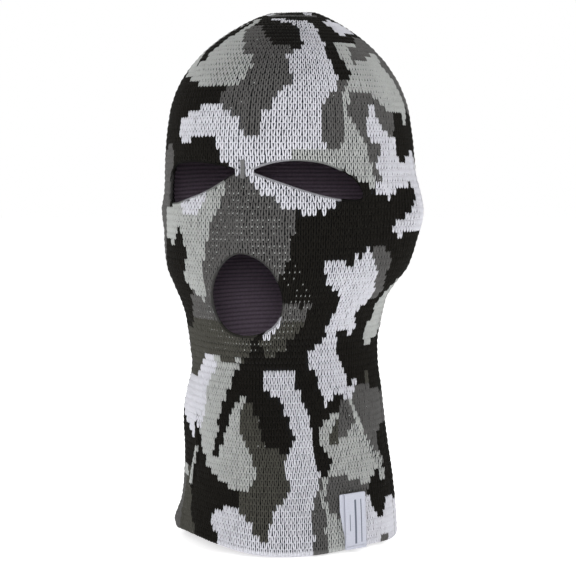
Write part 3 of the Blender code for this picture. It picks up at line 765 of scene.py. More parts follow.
def grown(points, amount):
    """The closed outline moved outward by the amount."""
    along = np.roll(points, -1, axis=0) - np.roll(points, 1, axis=0)
    along /= np.linalg.norm(along, axis=1, keepdims=True)
    x, z = points[:, 0], points[:, 1]
    clockwise = np.sum(np.roll(x, 1) * z - x * np.roll(z, 1)) < 0
    side = 1.0 if clockwise else -1.0
    return points + side * amount * np.stack([-along[:, 1], along[:, 0]], axis=1)


OPENING_POINTS = 88
OPENINGS = {
    name: smooth_outline(points, OPENING_POINTS)
    for name, points in (("left_eye", LEFT_EYE), ("right_eye", RIGHT_EYE), ("mouth", MOUTH))
}
CUT_FROM = -0.130
CUT_DEPTH = 0.110


def in_an_opening(points, margin):
    """Which points, in millimetres, lie on the front inside an opening grown by the margin."""
    found = np.zeros(len(points), bool)
    for outline in OPENINGS.values():
        edge = grown(outline, margin)
        found |= inside(points[:, 0], points[:, 2], [tuple(place) for place in edge])
    return found & (points[:, 1] < 0.0)


def pressed_to_edges(points):
    """The points, with those inside an opening moved to its edge, so that the stitches end there."""
    points = points.copy()
    for outline in OPENINGS.values():
        edge = grown(smooth_outline(outline, FINE_OUTLINE_POINTS), STITCH_CLEAR)
        low, high = edge.min(axis=0), edge.max(axis=0)
        flat = points[:, [0, 2]]
        near = np.flatnonzero((points[:, 1] < 0) & (flat > low).all(axis=1) & (flat < high).all(axis=1))
        near = near[inside(points[near, 0], points[near, 2], [tuple(place) for place in edge])]
        if len(near):
            away = np.linalg.norm(flat[near][:, None] - edge[None], axis=2)
            points[near[:, None], [0, 2]] = edge[away.argmin(axis=1)]
    return points


def opening_cutters(amount):
    """Blocks of the openings' outlines that run through the front of the head only."""
    cutters = []
    for name, outline in OPENINGS.items():
        shape = bmesh.new()
        near = [shape.verts.new((x * MM, CUT_FROM, z * MM)) for x, z in grown(outline, amount)]
        pushed = bmesh.ops.extrude_face_region(shape, geom=[shape.faces.new(near)])["geom"]
        ends = [item for item in pushed if isinstance(item, bmesh.types.BMVert)]
        bmesh.ops.translate(shape, verts=ends, vec=(0.0, CUT_DEPTH, 0.0))
        bmesh.ops.recalc_face_normals(shape, faces=shape.faces)
        mesh = bpy.data.meshes.new(name + "_cutter")
        shape.to_mesh(mesh)
        shape.free()
        cutters.append(bpy.data.objects.new(name + "_cutter", mesh))
        bpy.context.scene.collection.objects.link(cutters[-1])
    return cutters


def cut_openings(piece, amount):
    """Cuts the three openings out of a closed piece."""
    cutters = opening_cutters(amount)
    for cutter in cutters:
        boolean = piece.modifiers.new(cutter.name, "BOOLEAN")
        boolean.operation = "DIFFERENCE"
        boolean.solver = "EXACT"
        boolean.object = cutter
    graph = bpy.context.evaluated_depsgraph_get()
    made = bpy.data.meshes.new_from_object(piece.evaluated_get(graph))
    piece.modifiers.clear()
    old = piece.data
    piece.data = made
    bpy.data.meshes.remove(old)
    for cutter in cutters:
        bpy.data.objects.remove(cutter)


# Mesh building -----------------------------------------------------------------------------------------


def mesh_object(name, points, groups, finish):
    """An object of points in millimetres and groups of faces, each group with its own corner count."""
    mesh = bpy.data.meshes.new(name)
    mesh.vertices.add(len(points))
    mesh.vertices.foreach_set("co", (np.asarray(points, np.float64) * MM).astype(np.float32).ravel())
    corners = np.concatenate([np.asarray(group, np.int32).ravel() for group in groups])
    sizes = np.concatenate([np.full(len(group), group.shape[1]) for group in groups])
    mesh.loops.add(len(corners))
    mesh.loops.foreach_set("vertex_index", corners)
    mesh.polygons.add(len(sizes))
    starts = np.concatenate([[0], np.cumsum(sizes)[:-1]]).astype(np.int32)
    mesh.polygons.foreach_set("loop_start", starts)
    mesh.update(calc_edges=True)
    mesh.shade_smooth()
    mesh.materials.append(finish)
    made = bpy.data.objects.new(name, mesh)
    bpy.context.scene.collection.objects.link(made)
    return made


def add_map(piece, places):
    """A map layer that gives each vertex one place, from 0 to 1 both ways."""
    mesh = piece.data
    corners = np.empty(len(mesh.loops), np.int32)
    mesh.loops.foreach_get("vertex_index", corners)
    layer = mesh.uv_layers.new(name="OFBake")
    layer.data.foreach_set("uv", np.asarray(places, np.float32)[corners].ravel())


def add_paint(piece, colours):
    """A colour for each vertex, which the piece's material reads."""
    layer = piece.data.color_attributes.new("paint", "FLOAT_COLOR", "POINT")
    full = np.ones((len(colours), 4), np.float32)
    full[:, :3] = colours
    layer.data.foreach_set("color", full.ravel())


def grid_faces(rows, columns, closed_rows, closed_columns, start=0):
    """The quads of a grid of points that is stored row by row."""
    i = np.arange(rows if closed_rows else rows - 1)[:, None]
    j = np.arange(columns if closed_columns else columns - 1)[None, :]
    below, above = i * columns, (i + 1) % rows * columns
    after = (j + 1) % columns
    quads = np.stack(np.broadcast_arrays(below + j, below + after, above + after, above + j), axis=-1)
    return quads.reshape(-1, 4) + start


def two_layer_sheet(outer_layer, inner_layer):
    """Points and quads of a closed sheet from two grids of the same size that lie one behind the other."""
    rows, columns = outer_layer.shape[:2]
    count = rows * columns
    points = np.concatenate([outer_layer.reshape(-1, 3), inner_layer.reshape(-1, 3)])
    front = grid_faces(rows, columns, False, False)
    back = grid_faces(rows, columns, False, False, count)[:, ::-1]
    index = np.arange(count).reshape(rows, columns)
    edge = np.concatenate([index[0, :], index[1:, -1], index[-1, -2::-1], index[-2:0:-1, 0]])
    after = np.roll(edge, -1)
    rim = np.stack([edge, edge + count, after + count, after], axis=1)
    return points, np.concatenate([front, back, rim])


# Ropes -------------------------------------------------------------------------------------------------


PLIES = 2
SMOOTHINGS = 3
RIDGE_POWER = 0.7
END_SHARE = 0.12


def evenly_spaced(path, closed, step):
    """Points about a step apart on a softened path, how far along it each one is, and its length."""
    line = np.asarray(path, float)
    if closed:
        line = np.vstack([line, line[:1]])
    run = np.concatenate([[0.0], np.cumsum(np.linalg.norm(np.diff(line, axis=0), axis=1))])
    goals = np.linspace(0.0, run[-1], max(int(run[-1] / step), 8), endpoint=not closed)
    centres = np.stack([np.interp(goals, run, line[:, k]) for k in range(3)], axis=1)
    for _ in range(SMOOTHINGS):
        around = (np.roll(centres, 1, axis=0) + centres * 2 + np.roll(centres, -1, axis=0)) / 4
        if not closed:
            around[[0, -1]] = centres[[0, -1]]
        centres = around
    return centres, goals, run[-1]


def carried_frames(centres, closed):
    """Two directions across the path at each of its points, carried along it without a twist."""
    ahead = np.roll(centres, -1, axis=0) - np.roll(centres, 1, axis=0)
    if not closed:
        ahead[0], ahead[-1] = centres[1] - centres[0], centres[-1] - centres[-2]
    ahead = unit(ahead)
    across = np.empty_like(centres)
    first = np.cross(ahead[0], (0.0, 0.0, 1.0))
    if np.linalg.norm(first) < 0.1:
        first = np.cross(ahead[0], (1.0, 0.0, 0.0))
    across[0] = first / np.linalg.norm(first)
    for k in range(1, len(centres)):
        carried = across[k - 1] - ahead[k] * np.dot(across[k - 1], ahead[k])
        across[k] = carried / np.linalg.norm(carried)
    return across, np.cross(ahead, across)


def rope(name, path, radius, finish, closed, pitch, depth=0.2, sides=14, step=0.28):
    """A twisted thread round a path in millimetres: its plies wind round it as real ridges."""
    centres, goals, length = evenly_spaced(path, closed, step)
    across, other = carried_frames(centres, closed)
    count = len(centres)
    share = (goals / length)[:, None]
    slip = 0.0
    if closed:
        slip = math.atan2(np.dot(across[-1], other[0]), np.dot(across[-1], across[0]))
    turns = round(length / pitch) if closed else length / pitch
    around = np.linspace(0.0, 2 * np.pi, sides, endpoint=False)[None, :]
    turn = around - slip * share
    ridges = np.abs(np.cos((around * PLIES - 2 * np.pi * turns * share) / 2)) ** RIDGE_POWER
    swell = radius * (1.0 - depth + depth * ridges)
    if not closed:
        ends = np.minimum(goals, length - goals)[:, None] / radius
        swell = swell * np.sqrt(np.clip(1.0 - (1.0 - np.clip(ends, 0.0, 1.0)) ** 2, END_SHARE, 1.0))
    sideways = np.cos(turn)[..., None] * across[:, None, :] + np.sin(turn)[..., None] * other[:, None, :]
    points = (centres[:, None, :] + swell[..., None] * sideways).reshape(-1, 3)
    faces = grid_faces(count, sides, closed, True)
    if closed:
        return mesh_object(name, points, [faces], finish)
    ring = np.arange(sides)
    after = np.roll(ring, -1)
    last = (count - 1) * sides
    first_cap = np.stack([after, ring, np.full(sides, count * sides)], axis=1)
    last_cap = np.stack([last + ring, last + after, np.full(sides, count * sides + 1)], axis=1)
    points = np.concatenate([points, centres[[0, -1]]])
    return mesh_object(name, points, [faces, first_cap, last_cap], finish)


# Materials ---------------------------------------------------------------------------------------------


SPECULAR = 0.12
SHEEN_ROUGHNESS = 0.5


def new_material(name, roughness, sheen=0.0):
    """A Principled material with its constant settings, and its node tree."""
    made = bpy.data.materials.new(name)
    made.use_nodes = True
    tree = made.node_tree
    shader = tree.nodes["Principled BSDF"]
    shader.inputs["Roughness"].default_value = roughness
    shader.inputs["Sheen Weight"].default_value = sheen
    shader.inputs["Sheen Roughness"].default_value = SHEEN_ROUGHNESS
    shader.inputs["Specular IOR Level"].default_value = SPECULAR
    return made, tree, shader


def noise_node(tree, scale, detail, stretch=(1.0, 1.0, 1.0)):
    """A noise texture of that many spots to the metre, in the object's own space."""
    place = tree.nodes.new("ShaderNodeTexCoord")
    mapping = tree.nodes.new("ShaderNodeMapping")
    mapping.inputs["Scale"].default_value = stretch
    noise = tree.nodes.new("ShaderNodeTexNoise")
    noise.inputs["Scale"].default_value = scale
    noise.inputs["Detail"].default_value = detail
    tree.links.new(place.outputs["Object"], mapping.inputs["Vector"])
    tree.links.new(mapping.outputs["Vector"], noise.inputs["Vector"])
    return noise


def ramp_between(tree, noise, low, high):
    """The noise as a colour, from one to another over its middle range."""
    ramp = tree.nodes.new("ShaderNodeValToRGB")
    for element, position, colour in zip(ramp.color_ramp.elements, (0.3, 0.7), (low, high)):
        element.position = position
        element.color = (*colour, 1.0)
    tree.links.new(noise.outputs["Fac"], ramp.inputs["Fac"])
    return ramp.outputs["Color"]


def colour_by_product(tree, shader, first, second):
    """Gives the shader two colours multiplied."""
    mix = tree.nodes.new("ShaderNodeMix")
    mix.data_type = "RGBA"
    mix.blend_type = "MULTIPLY"
    mix.inputs["Factor"].default_value = 1.0
    tree.links.new(first, mix.inputs["A"])
    tree.links.new(second, mix.inputs["B"])
    tree.links.new(mix.outputs["Result"], shader.inputs["Base Color"])


def add_bump(tree, shader, height, strength, distance):
    """Gives the shader that texture's factor as bump."""
    bump = tree.nodes.new("ShaderNodeBump")
    bump.inputs["Strength"].default_value = strength
    bump.inputs["Distance"].default_value = distance
    tree.links.new(height.outputs["Fac"], bump.inputs["Height"])
    tree.links.new(bump.outputs["Normal"], shader.inputs["Normal"])


def fibre_bump(tree, shader, scale, distance):
    """Fine fibres as bump."""
    add_bump(tree, shader, noise_node(tree, scale, 4.0, (1.0, 1.0, 2.2)), 0.6, distance)


def shade(colour, factor):
    """The colour made lighter or darker."""
    return tuple(min(part * factor, 1.0) for part in colour)


def yarn_material(name, code, spread, sheen):
    """Spun yarn: a slightly uneven colour along the yarn, broad patches of wear, and fibres as bump."""
    colour = srgb(code)
    made, tree, shader = new_material(name, 0.92, sheen)
    low, high = shade(colour, 1 - spread), shade(colour, 1 + spread)
    fine = ramp_between(tree, noise_node(tree, 900.0, 3.0), low, high)
    broad = ramp_between(tree, noise_node(tree, 45.0, 2.0), (0.90,) * 3, (1.0,) * 3)
    colour_by_product(tree, shader, fine, broad)
    fibre_bump(tree, shader, 2600.0, 0.00012)
    return made


def use_paint(tree, shader, darkest, scale, stretch=(1.0, 1.0, 1.0)):
    """Gives the shader the piece's own paint, with an uneven tone."""
    paint = tree.nodes.new("ShaderNodeVertexColor")
    paint.layer_name = "paint"
    tone = ramp_between(tree, noise_node(tree, scale, 3.0, stretch), (darkest,) * 3, (1.0,) * 3)
    colour_by_product(tree, shader, paint.outputs["Color"], tone)


def painted_material(name):
    """Matt cloth or thread in the colours painted on the piece."""
    made, tree, shader = new_material(name, 0.95)
    use_paint(tree, shader, 0.75, 700.0)
    fibre_bump(tree, shader, 1800.0, 0.00015)
    return made


def tape_material():
    """Woven satin tape: its painted white and lines, an uneven tone, and fine cross ribs."""
    made, tree, shader = new_material("label_tape", 0.62, 0.1)
    use_paint(tree, shader, 0.88, 500.0, (1.0, 1.0, 6.0))
    place = tree.nodes.new("ShaderNodeTexCoord")
    weave = tree.nodes.new("ShaderNodeTexWave")
    weave.bands_direction = "Z"
    weave.inputs["Scale"].default_value = 520.0
    weave.inputs["Distortion"].default_value = 0.6
    tree.links.new(place.outputs["Object"], weave.inputs["Vector"])
    add_bump(tree, shader, weave, 0.5, 0.00008)
    return made


# The knit ----------------------------------------------------------------------------------------------

# A lobe of yarn: stations along it, and how thick it is there. Across is in wales from the stitch's middle
# line, up is in courses from its middle, and sizes are in wales or, for the depth, in millimetres.
LOBE_STATIONS = (0.10, 0.48, 0.88)
LOBE_FULLNESS = (0.80, 1.0, 0.82)
LOBE_SINK = 0.42
LOBE_SIDES = 5
LOBE_HALF_WIDTH = 0.174
LOBE_HALF_DEPTH = 0.50
FOOT_ACROSS = 0.105
HEAD_ACROSS = 0.335
FOOT_UP = -0.64
HEAD_UP = 0.66
BEND = 1.3
# How uneven the stitches are: their places in wales across and courses up, sizes, depths and lean.
PLACE_ODDS = 0.026
CLIMB_ODDS = 0.025
SIZE_ODDS = 0.06
RISE_ODDS = 0.07
LEAN_ODDS = 0.02
GROUND_INSET = 1.15
GROUND_THICKNESS = 0.95
GROUND_MARGIN = 0.6
GROUND_TONES = (0.8, 1.2)
INNER_PAINTED_SHADE = 0.8
LOWEST_CLIMB = 1.2
STITCH_REACH = -0.7
STITCH_CLEAR = 0.25
FINE_OUTLINE_POINTS = 900
CUT_CODE = "1c1b1a"


def courses():
    """The climb of each course's middle."""
    return LOWEST_CLIMB + COURSE * (np.arange(int((CLIMB[-1] - LOWEST_CLIMB) / COURSE)) + 0.5)


def stitches_of(panel, seed):
    """Every stitch of a panel as arrays: place, directions, size and yarn."""
    chance = np.random.default_rng(seed)
    shares, climbs, steps, yarns = [], [], [], []
    for middle in courses():
        count = panel.wales
        while panel.width(middle) / count < NARROWEST_WALE and count > 8:
            count //= 2
        place = (np.arange(count) + 0.5) / count
        shares.append(place)
        climbs.append(np.full(count, middle))
        steps.append(np.full(count, 1.0 / count))
        yarns.append(yarn_at(panel.angle(place, middle), middle))
    yarn = np.concatenate(without_specks(yarns))
    share, climb, step = (np.concatenate(rows) for rows in (shares, climbs, steps))
    share = share + step * chance.normal(0.0, PLACE_ODDS, len(share))
    climb = climb + COURSE * chance.normal(0.0, CLIMB_ODDS, len(share))
    angle = panel.angle(share, climb)
    point, along, up, out = skin_frame(angle, climb)
    left = skin(panel.angle(share - step / 2, climb), climb)
    right = skin(panel.angle(share + step / 2, climb), climb)
    across = np.linalg.norm(right - left, axis=1)
    keep = ~(in_an_opening(point, STITCH_REACH) & panel.is_front)
    made = {"share": share, "climb": climb, "point": point, "along": along, "up": up, "out": out,
            "across": across, "yarn": yarn, "angle": wrapped(angle)}
    made = {key: value[keep] for key, value in made.items()}
    count = int(keep.sum())
    made["size"] = 1.0 + chance.normal(0.0, SIZE_ODDS, count)
    made["rise"] = chance.normal(0.0, RISE_ODDS, count)
    made["lean"] = chance.normal(0.0, LEAN_ODDS, count)
    made["luck"] = chance.random(count)
    return made


def lobe_faces(count):
    """The triangles of that many lobes, which are stored one after another."""
    faces = []
    for ring in range(len(LOBE_STATIONS) - 1):
        for k in range(LOBE_SIDES):
            low, high = ring * LOBE_SIDES + k, ring * LOBE_SIDES + (k + 1) % LOBE_SIDES
            faces.append((low, high, high + LOBE_SIDES))
            faces.append((low, high + LOBE_SIDES, low + LOBE_SIDES))
    foot_tip = len(LOBE_STATIONS) * LOBE_SIDES
    last = foot_tip - LOBE_SIDES
    for k in range(LOBE_SIDES):
        after = (k + 1) % LOBE_SIDES
        faces.append((after, k, foot_tip))
        faces.append((last + k, last + after, foot_tip + 1))
    per_lobe = foot_tip + 2
    return (np.array(faces)[None, :, :] + (np.arange(count) * per_lobe)[:, None, None]).reshape(-1, 3)


def lobes(stitches, side, sink=0.0, scale=1.0, foot=FOOT_ACROSS, head=HEAD_ACROSS,
          foot_up=FOOT_UP, head_up=HEAD_UP):
    """The points of one slanted lobe of each stitch, left (-1) or right (1): first rings, then tips."""
    across = stitches["across"]
    turn = np.linspace(0.0, 2 * np.pi, LOBE_SIDES, endpoint=False) + side * np.pi / 10

    def line(t):
        """The lobe's middle line, in millimetres from the stitch's place, and how deep it lies."""
        a = ((foot + (head - foot) * (1.0 - (1.0 - t) ** BEND)) * side + stitches["lean"]) * across
        b = (foot_up + (head_up - foot_up) * t) * COURSE + 0.0 * across
        deep = LOBE_HALF_DEPTH + sink + LOBE_SINK * (2 * t - 1) ** 2 - stitches["rise"]
        return a, b, deep

    parts = []
    for t, fullness in zip(LOBE_STATIONS, LOBE_FULLNESS):
        a, b, deep = line(t)
        before, after = line(t - 0.08), line(t + 0.08)
        slope = np.arctan2(after[0] - before[0], after[1] - before[1])
        size = fullness * stitches["size"] * scale
        wide = np.cos(turn) * (LOBE_HALF_WIDTH * across * size)[:, None]
        lift = np.sin(turn) * (LOBE_HALF_DEPTH * size)[:, None]
        parts.append((a[:, None] + wide * np.cos(slope)[:, None],
                      b[:, None] - wide * np.sin(slope)[:, None], lift - deep[:, None]))
    for t in (0.0, 1.0):
        parts.append(tuple(np.asarray(part)[:, None] * sign for part, sign in zip(line(t), (1, 1, -1))))
    a, b, c = (np.concatenate([part[k] for part in parts], axis=1)[..., None] for k in range(3))
    points = (stitches["point"][:, None] + a * stitches["along"][:, None]
              + b * stitches["up"][:, None] + c * stitches["out"][:, None])
    return points.reshape(-1, 3)


def pick(stitches, chosen):
    """Only the chosen stitches."""
    return {key: value[chosen] for key, value in stitches.items()}


def yarn_piece(name, groups, finish):
    """One piece of many lobes, from groups of stitches and how each group's lobe is laid."""
    points = np.concatenate([lobes(stitches, side, **lay) for stitches, side, lay in groups])
    shares = np.concatenate([stitches["share"] for stitches, _, _ in groups])
    climbs = np.concatenate([stitches["climb"] for stitches, _, _ in groups]) / CLIMB[-1]
    if name.startswith("front"):
        points = pressed_to_edges(points)
    piece = mesh_object(name, points, [lobe_faces(len(shares))], finish)
    per_lobe = len(points) // len(shares)
    place = np.repeat(np.stack([shares, climbs], axis=1), per_lobe, axis=0)
    spread = np.stack([np.sin(points[:, 0] * 3), np.sin(points[:, 2] * 3)], axis=1)
    add_map(piece, np.clip(0.01 + 0.98 * place + 0.0008 * spread, 0.0, 1.0))
    return piece


FLOAT_LAY = {"sink": 0.02, "scale": 0.50, "foot": 0.46, "head": 0.50, "foot_up": -0.30, "head_up": 0.02}


def floats_that_show(stitches):
    """The stitches beside which a light float shows through, most of them round the nose and mouth."""
    angle, climb, point, yarn = (stitches[key] for key in ("angle", "climb", "point", "yarn"))
    aside, above = (angle - FLOAT_CENTRE[0]) / FLOAT_SPREAD[0], (climb - FLOAT_CENTRE[1]) / FLOAT_SPREAD[1]
    near = np.exp(-(aside ** 2) - above ** 2)
    chance = np.array(FLOAT_CHANCE)[yarn] * (STRAY_FLOATS + near)
    chance = np.where(yarn == BLACK, chance * near ** 2, chance)
    wide = (angle > WIDE_RING_FROM[0]) & (climb > WIDE_RING_FROM[1]) & in_an_opening(point, WIDE_RING)
    ring = (wide | in_an_opening(point, RING_WIDTH)) & (climb < RING_TOP) & (yarn <= DARK)
    smooth_corner = (angle < SMOOTH_CORNER[0]) & (climb > SMOOTH_CORNER[1])
    chance = np.where(ring, np.where(smooth_corner, 0.0, RING_CHANCE), chance)
    return pick(stitches, (stitches["luck"] < chance) & ~in_an_opening(point, FLOAT_CLEAR))


def knit_panel(panel, seed, finishes):
    """The yarn pieces of a panel, one for each colour."""
    stitches = stitches_of(panel, seed)
    pieces = []
    for colour, yarn_name in enumerate(YARN_NAMES):
        mine = pick(stitches, stitches["yarn"] == colour)
        groups = [(mine, -1, {}), (mine, 1, {})]
        if colour == LIGHT:
            groups.append((floats_that_show(stitches), 1, FLOAT_LAY))
        piece = yarn_piece(f"{panel.name}_{yarn_name}", groups, finishes[colour])
        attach(piece, "balaclava")
        pieces.append(piece)
    return pieces


def darken_cut_edges(sheet):
    """Gives the points that the cut added, which come out white, the colour of the dark yarn inside."""
    layer = sheet.data.color_attributes["paint"]
    colours = np.empty(len(layer.data) * 4, np.float32)
    layer.data.foreach_get("color", colours)
    colours = colours.reshape(-1, 4)
    colours[colours[:, :3].min(axis=1) > 0.9, :3] = srgb(CUT_CODE)
    layer.data.foreach_set("color", colours.ravel())


def ground_sheet(panel, seed, finish):
    """The closed sheet behind a panel's stitches, coloured as the yarn floats in its gaps, with painted
    shade.
    """
    chance = np.random.default_rng(seed)
    climbs = np.array([LOWEST_CLIMB, *courses()[:-4], *np.linspace(CLIMB[-1] - 14.0, CLIMB[-1], 12)])
    shares = np.linspace(0.0, 1.0, panel.wales + 1)
    angles = panel.angle(shares[None, :], climbs[:, None])
    high = climbs[:, None] * np.ones_like(angles)
    near_top = np.clip((CLIMB[-1] - high) / 6.0, 0.15, 1.0)
    front = skin(angles, high, GROUND_INSET * near_top)
    behind = skin(angles, high, (GROUND_INSET + GROUND_THICKNESS) * near_top)
    points, faces = two_layer_sheet(front, behind)
    sheet = mesh_object(f"{panel.name}_ground", points, [faces], finish)
    yarn = yarn_at(angles, high).ravel()
    # The gaps' colours: yarn floats made darker as painted shade between the stitches.
    colours = GAP_FLOAT_AND_SHADE_COLOURS[yarn] * chance.uniform(*GROUND_TONES, (len(yarn), 1))
    # The back layer, facing the inside, is painted darker still as painted shade.
    add_paint(sheet, np.concatenate([colours, colours * INNER_PAINTED_SHADE]))
    across = np.broadcast_to(shares[None, :], angles.shape).ravel()
    up = (high / CLIMB[-1]).ravel()
    outer_map = np.stack([0.01 + across * 0.76, up], axis=1)
    inner_map = np.stack([0.80 + across * 0.19, up], axis=1)
    add_map(sheet, np.concatenate([outer_map, inner_map]))
    if panel.is_front:
        cut_openings(sheet, GROUND_MARGIN)
        darken_cut_edges(sheet)
    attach(sheet, "balaclava")
    return sheet


# The lining, hem and edges -----------------------------------------------------------------------------

LINING_CODE = "8a7c8b"
RIB_PITCH = 2.77
RIB_PAINTED_SHADE = 0.55
RIB_DEPTH = 0.85
RIB_ROWS = 4
LINING_COLUMNS = 72
LINING_TOP = 17.0


def lining(finish):
    """The dark lining with fine horizontal ribs, painted shade in their valleys; the three openings go
    through it.
    """
    low, high = climb_at_height(HEM_HEIGHT + 1.0), CLIMB[-1] - LINING_TOP
    rows = int((high - low) / RIB_PITCH * RIB_ROWS)
    climbs = np.linspace(low, high, rows)[:, None]
    angles = np.linspace(0.0, 360.0, LINING_COLUMNS, endpoint=False)[None, :]
    wave = RIB_DEPTH * (0.5 - 0.5 * np.cos(2 * np.pi * climbs / RIB_PITCH))
    front = skin(angles, climbs, LINING_INSET + wave)
    behind = skin(angles, climbs, LINING_INSET + LINING_THICKNESS + wave)
    count = rows * LINING_COLUMNS
    points = np.concatenate([front.reshape(-1, 3), behind.reshape(-1, 3)])
    outside = grid_faces(rows, LINING_COLUMNS, False, True)
    inner = grid_faces(rows, LINING_COLUMNS, False, True, count)[:, ::-1]
    ring = np.arange(LINING_COLUMNS)
    after = np.roll(ring, -1)
    bottom = np.stack([ring, ring + count, after + count, after], axis=1)
    last = (rows - 1) * LINING_COLUMNS
    tips = np.stack([front[-1].mean(axis=0), behind[-1].mean(axis=0)])
    points = np.concatenate([points, tips])
    top = np.stack([last + ring, last + after, np.full(LINING_COLUMNS, 2 * count)], axis=1)
    under = np.stack([last + after + count, last + ring + count,
                      np.full(LINING_COLUMNS, 2 * count + 1)], axis=1)
    piece = mesh_object("lining", points, [outside, inner, bottom, top, under], finish)
    # Painted shade: the rib valleys are painted darker the deeper they lie.
    shades = np.repeat(1.0 - RIB_PAINTED_SHADE * (wave.ravel() / RIB_DEPTH) ** 2, LINING_COLUMNS)
    shades = np.concatenate([shades, shades, (1.0, 1.0)])
    add_paint(piece, shades[:, None] * srgb(LINING_CODE))
    cut_openings(piece, GROUND_MARGIN)
    darken_cut_edges(piece)
    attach(piece, "balaclava")
    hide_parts("inner_lining")


HEM_RIBS = 184
HEM_RIB_DEPTH = 0.16
HEM_PAINTED_SHADE = 0.85
HEM_COLOUR_CLIMB = 3.0


def hem_layer(finish):
    """The turned-in hem: a folded edge that goes up inside the panels, knitted in ribs, its colours darkened
    as painted shade.
    """
    columns = 4 * HEM_RIBS
    angles = np.linspace(0.0, 360.0, columns, endpoint=False)
    rib = HEM_RIB_DEPTH * np.cos(np.linspace(0.0, 2 * np.pi * HEM_RIBS, columns, endpoint=False))
    top = HEM_HEIGHT
    profile = (
        (0.35, 3.0), (0.40, 1.4), (1.1, 0.35), (2.2, 0.0), (3.3, 0.25), (4.05, 1.2), (4.2, 4.0),
        (4.2, top - 1), (3.9, top), (2.9, top), (2.6, top - 1), (2.6, 5.0), (1.8, 3.6),
    )
    rings = []
    for inset, climb in profile:
        rings.append(skin(angles, np.full(columns, climb), inset + rib * (1.0 if climb < top - 1.5 else 0.3)))
    points = np.concatenate(rings)
    faces = grid_faces(len(profile), columns, True, True)[:, ::-1]
    piece = mesh_object("hem_layer", points, [faces], finish)
    yarn = np.tile(yarn_at(angles, np.full(columns, HEM_COLOUR_CLIMB)), len(profile))
    # The knit's colours made darker as painted shade at the fold.
    add_paint(piece, YARN_COLOURS[yarn] * HEM_PAINTED_SHADE)
    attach(piece, "balaclava")
    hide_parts("hem_turn_up")


EDGE_RADIUS = 0.95
SEAM_POINTS = 300
CROWN_POINTS = 40
HEM_THREAD_POINTS = 720
# How dark the edges and seam threads are against the knit: painted shade.
EDGE_PAINTED_SHADE = 0.36
SEAM_PAINTED_SHADE = 0.60


def paint_as_knit(piece, factor):
    """Paints a thread in the colours of the knit that it lies on, made darker by the factor as painted shade.
    """
    points = np.empty(len(piece.data.vertices) * 3, np.float32)
    piece.data.vertices.foreach_get("co", points)
    x, y, height = points.reshape(-1, 3).astype(float).T / MM
    climb = climb_at_height(height)
    _, width, middle, front, back, fullness = (curve(climb) for curve in CURVES)
    ahead = (middle + SHIFT_Y - y) / np.where(y < middle + SHIFT_Y, front, back)
    power = np.where(ahead > 0, fullness, BACK_FULLNESS) / 2
    across, along = np.sign(x) * np.abs(x / width) ** power, np.sign(ahead) * np.abs(ahead) ** power
    angle = np.degrees(np.arctan2(across, along))
    add_paint(piece, YARN_COLOURS[yarn_at(angle, climb)] * factor)


def opening_path(outline, inset):
    """The opening's outline laid on the front of the skin."""
    climb = climb_at_height(outline[:, 1])
    return skin(front_angle(outline[:, 0], climb, inset), climb, inset)


def seam_lines():
    """The lines of the side seams and of the crown seam in millimetres."""
    climbs = np.linspace(1.6, CLIMB[-1] - 4.0, SEAM_POINTS)
    across = np.linspace(-1.0, 1.0, CROWN_POINTS) * (SECTIONS[-1][1] - 4.5)
    level = SECTIONS[-1][0] - SEAM_RADIUS - 0.1
    middle = SECTIONS[-1][2] + SHIFT_Y
    crown = np.stack([across, np.full(CROWN_POINTS, middle), np.full(CROWN_POINTS, level)], axis=1)
    left, right = (skin(np.full(SEAM_POINTS, side * SEAM_ANGLE), climbs, PANEL_THICKNESS / 2)
                   for side in (1, -1))
    return {"left_side_seam": left, "right_side_seam": right, "crown_seam": crown}


def edges_and_seams(finishes):
    """The rolled edges, the side and crown seams and the hem's stitching, as twisted threads."""
    made = []
    for name, outline in OPENINGS.items():
        path = opening_path(smooth_outline(outline, 2 * OPENING_POINTS), PANEL_THICKNESS / 2 + 0.2)
        edge = rope(f"{name}_edge", path, EDGE_RADIUS, finishes["edging"], True, pitch=2.2, depth=0.22)
        # The rolled edge in the knit's colours, darkened as painted shade where it curls into the opening.
        paint_as_knit(edge, EDGE_PAINTED_SHADE)
        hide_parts(f"{name}_binding")
        made.append(edge)
    for name, path in seam_lines().items():
        seam = rope(f"{name}_thread", path, SEAM_RADIUS, finishes["seam"], False, pitch=3.4)
        # The seam thread in the knit's colours, darkened as painted shade between the panels.
        paint_as_knit(seam, SEAM_PAINTED_SHADE)
        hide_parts(name)
        made.append(seam)
    angles = np.linspace(0.0, 360.0, HEM_THREAD_POINTS, endpoint=False)
    climbs = np.full(HEM_THREAD_POINTS, climb_at_height(HEM_HEIGHT - 4.0))
    path = skin(angles, climbs, 4.75 + 0.15 * np.cos(angles))
    hem = rope("hem_thread", path, 0.5, finishes["thread"], True, pitch=2.4, sides=8, step=0.5)
    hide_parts("hem_stitching")
    made.append(hem)
    for piece in made:
        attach(piece, "balaclava")


BARTACK_TURNS = 17
THREAD_CODE = "6a6a6a"


def bartack(finish):
    """The bar of dense stitches between the eyes: one thread wound round and round a narrow core."""
    low, high = (np.array(corner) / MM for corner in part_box("bridge_bartack"))
    centre = (low + high) / 2
    turn = np.linspace(0.0, 2 * np.pi * BARTACK_TURNS, BARTACK_TURNS * 24)
    rise = np.linspace(low[2] + 0.4, high[2] - 0.4, len(turn))
    wide = (high[0] - low[0]) / 2 - 0.1
    path = np.stack([centre[0] + wide * np.cos(turn), centre[1] + 0.35 + 0.5 * np.sin(turn), rise], axis=1)
    piece = rope("bridge_stitches", path, 0.42, finish, False, pitch=1.6, depth=0.15, sides=8, step=0.25)
    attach(piece, "balaclava")
    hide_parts("bridge_bartack")


# The label ---------------------------------------------------------------------------------------------

